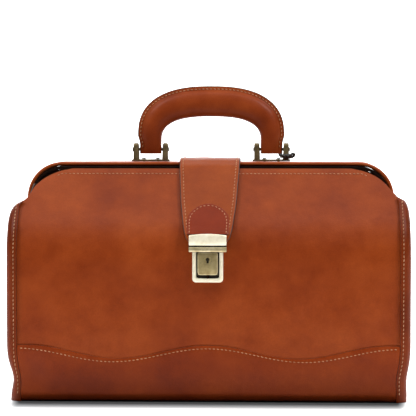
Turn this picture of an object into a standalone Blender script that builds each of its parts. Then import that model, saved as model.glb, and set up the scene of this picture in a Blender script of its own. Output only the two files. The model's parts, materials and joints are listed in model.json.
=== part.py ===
"""Leather doctor bag with a hinged frame mouth, a swinging handle, and a strap closed by a press lock.

The origin is on the floor under the middle of the bag. The bag's front faces -Y, its width runs
along X, and +Z is up. Lengths below are in millimetres and turned into metres when meshes are made.
"""

import math

import bmesh
import bpy

MM = 0.001
GAP = 0.3  # clearance kept between pieces that touch
FRONT, BACK = -1, 1  # sign of y for the two halves of the bag
LEFT, RIGHT = -1, 1  # sign of x for the two ends of the bag

# Walls of the bag, below the fold
LEATHER = 3.0
GUSSET_LEATHER = 2.4
PANEL_HALF_WIDTH = 190.5
LIP_DEPTH = 95.5  # half the depth over the gussets' lips
LIP_WIDTH = 11.0  # width of the gussets' lips on the front and back faces
CORNER_RADIUS = 9.0
HALF_WIDTH = 200.0
BASE_HALF_WIDTH = 196.0
BASE_RISE = 60.0  # height over which the ends spread to their full width
PANEL_PROFILE = [(0, 89.5), (8, 92), (30, 93), (130, 93), (150, 92.4), (164, 91)]
LEVELS = (0, 8, 30, 60, 95, 130, 150)
NOTCH_HEIGHT = 127.0  # lowest point of the notch in a gusset's top edge
LEAF_THICK = 2.5
LEAF_X, LEAF_MIDDLE_Y = 173.5, 31.0  # a place on a gusset's folded leaf
LEAF_FOLD_IN = 18.5 / 53.5  # how far the leaf moves inwards for each step towards the middle

# Stitched band round the foot, with a waved top edge
BAND_THICK = 1.8
BAND_HEIGHT, WAVE_RISE, WAVE_LENGTH = 49.7, 6.6, 189.0
BAND_STEPS = 36

# Fold lines at the shoulders, which the two halves turn about
FOLD_Y, FOLD_Z = 91.0, 164.0
TOP_Y, TOP_Z = 38.0, 229.0  # top edge of the sloping panels
SLOPE_LENGTH = math.hypot(FOLD_Y - TOP_Y, TOP_Z - FOLD_Z)
LEAN = math.atan2(FOLD_Y - TOP_Y, TOP_Z - FOLD_Z)
OPENING = math.radians(42)
# Distance up each slope and half the panel's width there
SLOPE_WIDTHS = [(0.3, 190.5), (37, 190.3), (50, 184.5), (62, 178), (72, 171), (80, 161), (84, 150)]

# Frame: a U-shaped steel bar in each half, with a leather cover over it
FRAME_HALF_WIDTH = 187.5
FRAME_TOP = 235.5
FRAME_CORNER = 36.0
COVER_THICK = 4.2
COVER_Y = (0.5, 24.0)
COVER_END = 190.0
BAR_OUT, BAR_IN = 4.5, 7.5  # depth of the bar's faces below the frame's outer line
FRONT_ARM, BACK_ARM = (6.3, 8.9), (9.4, 12.0)  # the same depths on the arms, which lap at the pins
BAR_WIDENING = 6.5  # how much wider the bar is along the top than beside the corners
CORNER_STEPS = 8
PIN_HEIGHT = FOLD_Z - FOLD_Y * math.tan(OPENING / 2)
PIN_TRAVEL_Y = FOLD_Y / math.cos(OPENING / 2) - FOLD_Y
PIN_RADIUS = 2.0
SLOT_HALF_WIDTH = 3.5

# Handle and its brackets
PIVOT_Y, PIVOT_Z = 11.0, 248.0
HANDLE_PIN_RADIUS = 1.7
HANDLE_BORE_RADIUS = 1.9
EARS = ((44.5, 51.0), (74.5, 81.0))
BRACKET_PLATE = (43.0, 82.5)
BRACKET_HALF_DEPTH = 7.5
PLATE_BOTTOM = FRAME_TOP + GAP
PLATE_TOP = PLATE_BOTTOM + 1.8
EAR_TOP = 254.5
HANDLE_FOOT = 243.3
HANDLE_LEGS = 0.16  # share of the handle's length in each straight leg
GRIP_HALF_DEPTH, GRIP_FOOT_HALF_DEPTH = 9.0, 7.0
SPINE_HEIGHT = 4.5
SPINE_HALF_DEPTH = 2.6

# Strap: the points of its inner face, from the back of the bag over the frame to its tip
STRAP_THICK = 3.2
STRAP_STANDOFF = 0.7
STRAP_WIDTHS = [(150, 19.0), (158, 19.5), (170, 24.2), (196, 28.0), (240, 31.2)]
STRAP_TIP_Z = 158.8
PATCH_THICK = 1.4
SECOND_FOLD_Z = 205.0

# Lock
LOCK_Z = 140.7  # height of the key barrel
HASP_HALF_WIDTH = 18.4
PLATE_HALF_WIDTH = 15.2
BUTTON_HALF_WIDTH = 10.0
PLATE_FACE_Y, POCKET_FLOOR_Y = -98.2, -94.6
BUTTON_BACK_Y = -96.4
PAWL_Y = (-96.1, -95.0)  # the pawl and the cam lie in one layer behind the button
BARREL_RADIUS = 3.6
KEYHOLE_DEPTH_Y = -98.2


def material(name, colour, roughness, metallic=0.0):
    made = bpy.data.materials.new(name)
    made.use_nodes = True
    shader = made.node_tree.nodes["Principled BSDF"]
    shader.inputs["Base Color"].default_value = (*colour, 1.0)
    shader.inputs["Roughness"].default_value = roughness
    shader.inputs["Metallic"].default_value = metallic
    return made


def add(name, mesh_points, faces, finish):
    """One closed object from points in millimetres, with its faces turned outwards."""
    shape = bmesh.new()
    corners = [shape.verts.new([value * MM for value in point]) for point in mesh_points]
    for face in faces:
        shape.faces.new([corners[index] for index in face])
    bmesh.ops.recalc_face_normals(shape, faces=shape.faces)
    mesh = bpy.data.meshes.new(name)
    shape.to_mesh(mesh)
    shape.free()
    mesh.materials.append(finish)
    made = bpy.data.objects.new(name, mesh)
    bpy.context.scene.collection.objects.link(made)
    return made


def loft(name, sections, finish, thin=False):
    """A solid through closed loops of equal length, capped at both ends.

    The loops of a thin solid go out along one face and back along the other, and a strip of
    quads caps them, so that an end may follow a bent or stepped edge.
    """
    count = len(sections[0])
    points = [point for section in sections for point in section]
    ends = (0, len(points) - count)
    if thin:
        faces = [(end + c, end + c + 1, end + count - 2 - c, end + count - 1 - c)
                 for end in ends for c in range(count // 2 - 1)]
    else:
        faces = [tuple(range(end, end + count)) for end in ends]
    for row in range(len(sections) - 1):
        for column in range(count):
            beside = (column + 1) % count
            low, high = row * count, (row + 1) * count
            faces.append((low + column, low + beside, high + beside, high + column))
    return add(name, points, faces, finish)


def slab(name, outer, inner, finish):
    """A thin solid between two equal grids of points, closed along its four edges."""
    sections = [list(top) + list(reversed(bottom)) for top, bottom in zip(outer, inner)]
    return loft(name, sections, finish, thin=True)


def prism(name, axis, outline, low, high, finish):
    """An outline in the two axes other than the named one, drawn out along it."""
    place = {"x": lambda a, b, h: (h, a, b), "y": lambda a, b, h: (a, h, b), "z": lambda a, b, h: (a, b, h)}
    return loft(name, [[place[axis](a, b, h) for a, b in outline] for h in (low, high)], finish)


def rectangle(low_a, high_a, low_b, high_b):
    return [(low_a, low_b), (high_a, low_b), (high_a, high_b), (low_a, high_b)]


def circle(centre_a, centre_b, radius, sides=16):
    turns = [2 * math.pi * step / sides for step in range(sides)]
    return [(centre_a + radius * math.cos(turn), centre_b + radius * math.sin(turn)) for turn in turns]


def rod(name, axis, centre, stations, finish, sides=16):
    """A turned pin along an axis, through (place along the axis, radius) stations."""
    place = {"x": lambda a, b, h: (h, a, b), "y": lambda a, b, h: (a, h, b), "z": lambda a, b, h: (a, b, h)}
    sections = []
    for along, radius in stations:
        sections.append([place[axis](a, b, along) for a, b in circle(*centre, radius, sides)])
    return loft(name, sections, finish)


def cut(target, cutter):
    cutter.hide_render = True
    cutter.display_type = "WIRE"
    step = target.modifiers.new(cutter.name, "BOOLEAN")
    step.operation = "DIFFERENCE"
    step.object = cutter


def between(table, value):
    """Straight-line reading of a table of (place, number) pairs."""
    for (low, first), (high, second) in zip(table, table[1:]):
        if value <= high:
            share = max(0.0, (value - low) / (high - low))
            return first + share * (second - first)
    return table[-1][1]


def half_width(height):
    spread = max(0.0, 1 - height / BASE_RISE)
    return HALF_WIDTH - (HALF_WIDTH - BASE_HALF_WIDTH) * spread**2


def slope_point(distance, depth=0.0):
    """(y, z) on the front slope, a distance up from the fold and a depth below its outer face."""
    across, up = math.sin(LEAN), math.cos(LEAN)
    y = -FOLD_Y + distance * across + depth * up
    z = FOLD_Z + distance * up - depth * across
    return y, z


def wall_panel(name, half, finish):
    """The upright panel of one face, mitred at the fold so that the slope can turn outwards."""
    mitre = LEATHER * math.tan(LEAN / 2)
    rows = [(between(PANEL_PROFILE, z), z, between(PANEL_PROFILE, z) - LEATHER, z) for z in LEVELS]
    rows.append((FOLD_Y, FOLD_Z - GAP, FOLD_Y - LEATHER, FOLD_Z - GAP - mitre))
    ends = (-PANEL_HALF_WIDTH, PANEL_HALF_WIDTH)
    outer = [[(x, half * y, z) for x in ends] for y, z, _, _ in rows]
    inner = [[(x, half * y, z) for x in ends] for _, _, y, z in rows]
    return slab(name, outer, inner, finish)


def sloping_panel(name, half, finish):
    """The panel from the fold up to the frame, narrowing round the frame's corners."""
    outer, inner = [], []
    mitre = LEATHER * math.tan(LEAN / 2)
    for distance, width in SLOPE_WIDTHS:
        y, z = slope_point(distance)
        outer.append([(x, -half * y, z) for x in (-width, width)])
        at_fold = distance == SLOPE_WIDTHS[0][0]
        y, z = slope_point(distance + (mitre if at_fold else 0.0), LEATHER)
        inner.append([(x, -half * y, z) for x in (-width, width)])
    return slab(name, outer, inner, finish)


def gusset(name, end, finish):
    """One end wall with lips round both faces, and a notch in its top edge where it folds in."""
    arc = [math.radians(angle) for angle in (-90, -68, -45, -22, 0)]
    straight = LIP_DEPTH - CORNER_RADIUS
    sides = [-60, -30, 0, 30, 60]

    def plan(width, depth):
        radius = CORNER_RADIUS - depth
        centre = width - CORNER_RADIUS
        points = [(width - LIP_WIDTH, -LIP_DEPTH + depth)]
        points += [(centre + radius * math.cos(a), -straight + radius * math.sin(a)) for a in arc]
        points += [(width - depth, y) for y in sides]
        return points + [(x, -y) for x, y in reversed(points[:-len(sides)])]

    def top(y):
        share = min(1.0, abs(y) / straight)
        return NOTCH_HEIGHT + share * (FOLD_Z - GAP - NOTCH_HEIGHT)

    outer, inner = [], []
    for row in range(len(LEVELS) + 1):
        share = row / len(LEVELS)
        for grid, depth in ((outer, 0.0), (inner, GUSSET_LEATHER)):
            line = []
            for place, (_, y) in enumerate(plan(HALF_WIDTH, depth)):
                z = share * top(y)
                x, y = plan(half_width(z), depth)[place]
                line.append((end * x, y, z))
            grid.append(line)
    return slab(name, outer, inner, finish)


def gusset_leaf(name, half, end, finish):
    """The part of a gusset that folds inwards with one half, under the frame's corner."""
    outline = [(84.5, 166.5), (56.5, 200), (53, 205), (3, 205), (3, 150), (8, 134)]

    def at(y, z, depth):
        x = LEAF_X + LEAF_FOLD_IN * (y - LEAF_MIDDLE_Y) - depth
        return (end * x, half * y, z)

    return loft(name, [[at(y, z, depth) for y, z in outline] for depth in (0.0, LEAF_THICK)], finish)


def frame_line(low_end):
    """Points of the frame's outer line with outward normals, up the left arm and down the right."""
    centre_x, centre_z = FRAME_HALF_WIDTH - FRAME_CORNER, FRAME_TOP - FRAME_CORNER
    line = [((-FRAME_HALF_WIDTH, z), (-1.0, 0.0)) for z in low_end]
    for step in range(CORNER_STEPS + 1):
        angle = math.radians(180 - 90 * step / CORNER_STEPS)
        normal = (math.cos(angle), math.sin(angle))
        line.append(((-centre_x + FRAME_CORNER * normal[0], centre_z + FRAME_CORNER * normal[1]), normal))
    return line + [((-x, z), (-nx, nz)) for (x, z), (nx, nz) in reversed(line)]


def frame_bar(name, half, finish):
    """The steel U of one half, with flat arms that lap beside the other half's at the pins."""
    arm = FRONT_ARM if half == FRONT else BACK_ARM
    # Height, inner and outer y, and whether the lapped arm is at that height
    stations = [(PIN_HEIGHT - 7, -6, 13, arm), (PIN_HEIGHT + 10, -6, 14, arm), (152, 3, 16, arm),
                (164, 5, 18, arm), (184, 4, 26, (BAR_OUT, BAR_IN)), (192, 3, 28, (BAR_OUT, BAR_IN))]
    line = frame_line([station[0] for station in stations])
    sections = []
    for index, ((x, z), (nx, nz)) in enumerate(line):
        order = min(index, len(line) - 1 - index)
        if order < len(stations):
            _, y_in, y_out, (out, into) = stations[order]
        else:
            share = (order - len(stations)) / CORNER_STEPS
            y_in, y_out, out, into = 3, 28 + BAR_WIDENING * share, BAR_OUT, BAR_IN
        corners = ((out, y_in), (out, y_out), (into, y_out), (into, y_in))
        sections.append([(x - depth * nx, half * y, z - depth * nz) for depth, y in corners])
    bar = loft(name, sections, finish)
    for end in (LEFT, RIGHT):
        cut(bar, pin_slot(f"{name}_slot_{end}", half, end, finish))
    return bar


def pin_slot(name, half, end, finish):
    """The slot that lets an arm's foot swing a little past the pin while the frame opens."""
    reach = (PIN_TRAVEL_Y * math.cos(OPENING / 2), PIN_TRAVEL_Y * math.sin(OPENING / 2))
    along = math.atan2(reach[1], reach[0])
    outline = []
    for centre, start in (((0, 0), math.pi / 2), (reach, -math.pi / 2)):
        for step in range(7):
            angle = along + start + math.pi * step / 6
            y = centre[0] + SLOT_HALF_WIDTH * math.cos(angle)
            z = centre[1] + SLOT_HALF_WIDTH * math.sin(angle)
            outline.append((half * y, PIN_HEIGHT + z))
    return prism(name, "x", outline, end * 170, end * 186, finish)


def frame_cover(name, half, finish):
    """The leather-covered roll on the outside of one half's bar."""
    low, high = COVER_Y
    section = [(0.2, low), (0.0, 3.0), (0.0, high - 3.0), (0.8, high - 0.9), (2.4, high),
               (COVER_THICK, high), (COVER_THICK, low)]
    sections = []
    for (x, z), (nx, nz) in frame_line([COVER_END]):
        sections.append([(x - depth * nx, half * y, z - depth * nz) for depth, y in section])
    return loft(name, sections, finish)


def hinge_pin(name, end, finish):
    stations = [(174.2, 3.6), (175.2, 3.6), (175.2, PIN_RADIUS), (181.5, PIN_RADIUS), (181.5, 3.9),
                (182.6, 3.9)]
    return rod(name, "x", (0.0, PIN_HEIGHT), [(end * x, r) for x, r in stations], finish)


def handle_outline(foot, half_span, rise, centre_z, power, share):
    """A point of the handle's outer or inner outline, a flattened arch on straight legs."""
    if share < HANDLE_LEGS or share > 1 - HANDLE_LEGS:
        drop = (HANDLE_LEGS - min(share, 1 - share)) / HANDLE_LEGS
        x = half_span + (foot - half_span) * min(1.0, 2.4 * drop)
        return x * (1 if share > 0.5 else -1), centre_z - drop * (centre_z - HANDLE_FOOT)
    angle = math.pi * (1 - (share - HANDLE_LEGS) / (1 - 2 * HANDLE_LEGS))
    x = abs(math.cos(angle)) ** (2 / power) * half_span * (1 if math.cos(angle) > 0 else -1)
    return x, centre_z + rise * math.sin(angle) ** (2 / power)


def handle_section(share):
    """Inner point, outer point and the direction across the handle at a share of its length."""
    outer = handle_outline(73.4, 76.2, 51.6, 262.0, 2.5, share)
    inner = handle_outline(52.0, 51.4, 24.8, 257.0, 2.6, share)
    length = math.dist(outer, inner)
    across = ((outer[0] - inner[0]) / length, (outer[1] - inner[1]) / length)
    return inner, across, length


HANDLE_SHARES = [0.0, 0.08, 0.16] + [0.16 + 0.68 * step / 20 for step in range(1, 20)] + [0.84, 0.92, 1.0]


def handle_grip(name, finish, core_cutter):
    """The padded leather roll between the brackets, with a channel through it for the steel core."""
    sections = []
    for share in HANDLE_SHARES:
        inner, across, length = handle_section(share)
        fullness = math.sin(math.pi * min(1.0, max(0.0, share))) ** 0.5
        radius = (length - SPINE_HEIGHT) / 2
        depth = GRIP_FOOT_HALF_DEPTH + (GRIP_HALF_DEPTH - GRIP_FOOT_HALF_DEPTH) * fullness
        section = []
        for step in range(12):
            angle = 2 * math.pi * step / 12
            along = radius * (1 + math.cos(angle))
            section.append((inner[0] + along * across[0], PIVOT_Y + depth * math.sin(angle),
                            inner[1] + along * across[1]))
        sections.append(section)
    grip = loft(name, sections, finish)
    cut(grip, core_cutter)
    return grip


def handle_strip(name, finish, low, high, half_depth):
    """A strip along the handle, between two shares of its width."""
    sections = []
    for share in HANDLE_SHARES:
        inner, across, length = handle_section(share)
        body = length - SPINE_HEIGHT
        corners = ((low, -half_depth), (high, -half_depth), (high, half_depth), (low, half_depth))
        sections.append([(inner[0] + a * body * across[0], PIVOT_Y + y, inner[1] + a * body * across[1])
                         for a, y in corners])
    return loft(name, sections, finish)


def stretch_ends(channel):
    """Moves a cutter's end faces down past the handle's feet, so that it cuts right through them."""
    lowest = min(corner.co.z for corner in channel.data.vertices)
    for corner in channel.data.vertices:
        if corner.co.z < lowest + 0.5 * MM:
            corner.co.z -= 3 * MM


def handle_spine(name, finish):
    """The stitched leather edge that runs along the outside of the handle."""
    sections = []
    for share in HANDLE_SHARES:
        inner, across, length = handle_section(share)
        start, stop = length - SPINE_HEIGHT + GAP, length
        corners = ((start, -SPINE_HALF_DEPTH), (stop, -SPINE_HALF_DEPTH), (stop, SPINE_HALF_DEPTH),
                   (start, SPINE_HALF_DEPTH))
        sections.append([(inner[0] + a * across[0], PIVOT_Y + y, inner[1] + a * across[1])
                         for a, y in corners])
    return loft(name, sections, finish)


def bracket(name, end, finish):
    """A cast bracket: a thin plate on the frame with two ears that the handle's pin goes through."""
    (low_in, low_out), (high_in, high_out) = EARS
    plate_in, plate_out = BRACKET_PLATE
    outline = [(plate_in, PLATE_BOTTOM), (plate_out, PLATE_BOTTOM), (plate_out, PLATE_TOP),
               (high_out, PLATE_TOP), (high_out - 0.6, EAR_TOP - 1.5), (high_out - 1.8, EAR_TOP),
               (high_in + 1.4, EAR_TOP), (high_in + 0.4, EAR_TOP - 1.5), (high_in, PLATE_TOP),
               (low_out, PLATE_TOP), (low_out - 0.4, EAR_TOP - 1.5), (low_out - 1.4, EAR_TOP),
               (low_in + 1.8, EAR_TOP), (low_in + 0.6, EAR_TOP - 1.5), (low_in, PLATE_TOP),
               (plate_in, PLATE_TOP)]
    low, high = PIVOT_Y - BRACKET_HALF_DEPTH, PIVOT_Y + BRACKET_HALF_DEPTH
    made = prism(name, "y", [(end * x, z) for x, z in outline], low, high, finish)
    for edge, y in ((low, -1), (high, 1)):
        far = edge + 20 * y
        slope = [(edge, PLATE_TOP), (far, PLATE_TOP), (far, EAR_TOP + 5), (edge - 5 * y, EAR_TOP + 5),
                 (edge - 3.5 * y, EAR_TOP - 3)]
        cut(made, prism(f"{name}_taper_{y}", "x", slope, end * 40, end * 90, finish))
    hole = [(end * 40, HANDLE_BORE_RADIUS), (end * 90, HANDLE_BORE_RADIUS)]
    cut(made, rod(f"{name}_hole", "x", (PIVOT_Y, PIVOT_Z), hole, finish))
    return made


def handle_pin(name, end, finish):
    stations = [(43.2, 3.0), (44.2, 3.0), (44.2, HANDLE_PIN_RADIUS), (81.4, HANDLE_PIN_RADIUS),
                (81.4, 3.0), (83.0, 2.4)]
    return rod(name, "x", (PIVOT_Y, PIVOT_Z), [(end * x, r) for x, r in stations], finish)


def bracket_screw(name, x, y, finish):
    """A screw whose shank goes down through the plate and the cover into the bar."""
    stations = [(FRAME_TOP - BAR_IN + 0.2, 1.1), (PLATE_TOP + GAP, 1.1), (PLATE_TOP + GAP, 2.6),
                (PLATE_TOP + 1.4, 1.9)]
    return rod(name, "z", (x, y), stations, finish, 12)


def strap_line():
    """The strap's inner face as (y, z) points, from its sewn end at the back to its tip."""
    off = -STRAP_STANDOFF
    back = [(-y, z) for y, z in (slope_point(46, off), slope_point(SLOPE_LENGTH, off))]
    over = [(27.0, FRAME_TOP + STRAP_STANDOFF), (-20.0, FRAME_TOP + STRAP_STANDOFF)]
    top = [(-26.5, FRAME_TOP - 0.4), slope_point(SLOPE_LENGTH, off)]
    second = (SECOND_FOLD_Z - FOLD_Z) / math.cos(LEAN)
    front = [slope_point(second, off), slope_point(20, off), (-89.3, 169.8), (-94.9, 165.8),
             (-95.5, STRAP_TIP_Z)]
    return back, over, top, front


def outward(first, last):
    """Unit normal of a (y, z) segment, on the strap's outer side."""
    length = math.dist(first, last)
    return (last[1] - first[1]) / length, -(last[0] - first[0]) / length


def mitre_normal(first, corner, last):
    """Outward direction at a corner of a (y, z) line, scaled so that both sides keep their thickness."""
    (ay, az), (by, bz) = outward(first, corner), outward(corner, last)
    share = 1 + ay * by + az * bz
    return (ay + by) / share, (az + bz) / share


def offset_rows(points, thickness, widths, first_normal=None, last_normal=None):
    """Outer and inner grids of a strap section, mitred at its corners and square at its ends."""
    normals = [first_normal or outward(points[0], points[1])]
    normals += [mitre_normal(*three) for three in zip(points, points[1:], points[2:])]
    normals.append(last_normal or outward(points[-2], points[-1]))
    outer, inner = [], []
    for (y, z), (ny, nz), ends in zip(points, normals, widths):
        outer.append([(x, y + thickness * ny, z + thickness * nz) for x in ends])
        inner.append([(x, y, z) for x in ends])
    return outer, inner


def strap_widths(points):
    return [(-between(STRAP_WIDTHS, z), between(STRAP_WIDTHS, z)) for _, z in points]


def toward(start, end, distance):
    length = math.dist(start, end)
    return tuple(a + (b - a) * distance / length for a, b in zip(start, end))


def strap_section(name, points, finish, first_normal=None, last_normal=None):
    outer, inner = offset_rows(points, STRAP_THICK, strap_widths(points), first_normal, last_normal)
    return slab(name, outer, inner, finish)


def straps(leather):
    """The strap in its three sections. Returns each section with the outer-face points of its folds."""
    back, over, top, front = strap_line()
    fold = over[-1]
    normal = mitre_normal(over[0], fold, top[0])
    ahead = toward(fold, over[0], GAP)
    after = toward(fold, top[0], GAP)
    strap_top = strap_section("strap_top", back + [over[0], ahead], leather, None, normal)
    square = (-math.cos(LEAN), math.sin(LEAN))
    second = front[0]
    before = toward(second, top[-1], GAP / 2)
    upper = strap_section("strap_upper", [after, top[0], top[1], before], leather, normal, square)
    beyond = toward(second, front[1], GAP / 2)
    lower = strap_section("strap_front", [beyond] + front[1:], leather, square, (-1, 0))
    first_pivot = (fold[0] + STRAP_THICK * normal[0], fold[1] + STRAP_THICK * normal[1])
    second_pivot = (second[0] + STRAP_THICK * square[0], second[1] + STRAP_THICK * square[1])
    return strap_top, upper, lower, first_pivot, second_pivot


def strap_patch(name, finish):
    """The arched reinforcement on the strap's outer face, above the hasp."""
    front = strap_line()[3]
    inside = [slope_point(distance, -STRAP_STANDOFF) for distance in (39, 37.5, 34, 28)] + front[1:4]
    faces, _ = offset_rows(inside, STRAP_THICK + GAP, [(0.0,)] * len(inside))
    line = [face[0][1:] for face in faces]
    halves = (6.0, 12.0, 17.0, 20.0, 21.0, 20.5, 20.0)
    outer, inner = offset_rows(line, PATCH_THICK, [(-half, half) for half in halves])
    return slab(name, outer[:-1], inner[:-1], finish)


def hasp(name, finish):
    """The metal end of the strap: a cap round the leather, a groove, and the bar below it."""
    outline = [(-100.6, 166.8), (-100.6, 155.4), (-99.6, 155.4), (-99.6, 153.9), (-101, 153.9),
               (-101, 148.9), (-95.6, 148.9), (-95.6, 154.5), (-94.0, 154.5), (-94.0, 166.0),
               (-94.4, 166.0), (-94.9, 158.4), (-99.1, 158.4), (-99.1, 166.8)]
    made = prism(name, "x", outline, -HASP_HALF_WIDTH, HASP_HALF_WIDTH, finish)
    notch = rectangle(-97.4, -94.0, 148.0, 151.2)
    cut(made, prism(f"{name}_notch", "x", notch, -4.8, 4.8, finish))
    return made


def lock_plate(name, finish):
    """The fixed plate on the bag, with a pocket for the button and a channel for its spring."""
    r = PLATE_HALF_WIDTH
    outline = [(-r, 148.5), (-r, 122), (-r + 1, 119.7), (-r + 3.3, 118.7), (r - 3.3, 118.7),
               (r - 1, 119.7), (r, 122), (r, 148.5)]
    plate = prism(name, "y", outline, PLATE_FACE_Y, -93.3, finish)
    pocket = rectangle(-10.4, 10.4, 122.8, 160)
    cut(plate, prism(f"{name}_pocket", "y", pocket, -110, POCKET_FLOOR_Y, finish))
    spring_room = rectangle(-1.7, 1.7, 119.7, 130)
    cut(plate, prism(f"{name}_spring_room", "y", spring_room, PLATE_FACE_Y + GAP, POCKET_FLOOR_Y, finish))
    return plate


def lock_button(brass, steel):
    """The sliding button with the barrel's bore through it, and its pawl, which catches the hasp."""
    outline = rectangle(-BUTTON_HALF_WIDTH, BUTTON_HALF_WIDTH, 126.2, 148.2)
    button = prism("lock_button", "y", outline, -99.2, BUTTON_BACK_Y, brass)
    bore = [(-110, BARREL_RADIUS + GAP), (-90, BARREL_RADIUS + GAP)]
    cut(button, rod("lock_button_bore", "y", (0, LOCK_Z), bore, brass, 20))
    prism("latch_pawl", "y", rectangle(-4, 4, 144.9, 150.4), *PAWL_Y, steel)


def lock_barrel(brass, steel):
    """The turning barrel with its keyhole, and the cam behind it."""
    stations = [(-99.9, 3.3), (-99.5, BARREL_RADIUS), (BUTTON_BACK_Y, BARREL_RADIUS)]
    barrel = rod("lock_barrel", "y", (0, LOCK_Z), stations, brass, 20)
    head = circle(0, LOCK_Z + 0.8, 1.3, 12)
    slot = rectangle(-0.6, 0.6, LOCK_Z - 2.4, LOCK_Z + 0.5)
    for word, outline in (("head", head), ("slot", slot)):
        cut(barrel, prism(f"keyhole_{word}", "y", outline, -105, KEYHOLE_DEPTH_Y, brass))
    cam = rectangle(-1.8, 1.8, LOCK_Z - 3, LOCK_Z + 3.6)
    prism("lock_cam", "y", cam, *PAWL_Y, steel)


def lock_rivets(pierced, steel):
    """The two rivets that clamp the plate to the bag, and their holes through each pierced piece."""
    for side, word in ((LEFT, "left"), (RIGHT, "right")):
        centre = (side * 12.7, 134)
        stations = [(-94.1, 1.2), (-87.6, 1.2), (-87.6, 2.4), (-86.9, 2.0)]
        rod(f"lock_rivet_{word}", "y", centre, stations, steel, 12)
        hole = rod(f"lock_rivet_hole_{side}", "y", centre, [(-94.4, 1.5), (-85, 1.5)], steel, 12)
        for piece in pierced:
            cut(piece, hole)


def base_band(name, half, finish):
    """The band round the foot of one face, its top edge in two waves."""
    outer, inner = [], []
    for step in range(BAND_STEPS + 1):
        share = 2 * step / BAND_STEPS - 1
        levels = (0.0, 8.0, 30.0, wave_height(share * HALF_WIDTH))
        for grid, depth in ((outer, GAP + BAND_THICK), (inner, GAP)):
            grid.append([(share * (half_width(z) - LIP_WIDTH - GAP),
                          half * (between(PANEL_PROFILE, z) + depth), z) for z in levels])
    return slab(name, outer, inner, finish)


def wave_height(x):
    """Height of the base band's top edge: crests at the middle and ends, troughs between."""
    return BAND_HEIGHT + WAVE_RISE * math.cos(2 * math.pi * x / WAVE_LENGTH)


def open_box(name, half_x, half_y, low, high, thick, finish):
    """A lining: floor and four walls of one thin sheet, open at the top."""
    block = prism(name, "z", rectangle(-half_x, half_x, -half_y, half_y), low, high, finish)
    room = rectangle(-half_x + thick, half_x - thick, -half_y + thick, half_y - thick)
    cut(block, prism(f"{name}_room", "z", room, low + thick, high + 20, finish))
    return block


def cord_tie(name, finish):
    """A short waxed cord tied tightly round one ear of the right bracket."""
    low, high = EARS[1]
    reach = BRACKET_HALF_DEPTH + GAP
    inside = rectangle(low - GAP, high + GAP, PIVOT_Y - reach, PIVOT_Y + reach)
    outside = rectangle(low - 2.3, high + 2.6, PIVOT_Y - reach - 2.0, PIVOT_Y + reach + 2.0)
    sections = []
    for height in (PLATE_TOP + 1.2, PLATE_TOP + 3.2):
        sections.append([(x, y, height) for x, y in outside])
    ring = loft(name, sections, finish)
    cut(ring, prism(f"{name}_hole", "z", inside, PLATE_TOP - 5, PLATE_TOP + 9, finish))
    return ring


def hinge_empty(name, x, y, z, members):
    """An empty on a joint's axis, with the pieces that turn or slide about it as its children."""
    pivot = bpy.data.objects.new(name, None)
    pivot.location = (x * MM, y * MM, z * MM)
    bpy.context.scene.collection.objects.link(pivot)
    bpy.context.view_layer.update()
    for member in members:
        child = bpy.data.objects[member]
        child.parent = pivot
        child.matrix_parent_inverse = pivot.matrix_world.inverted()


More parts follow.
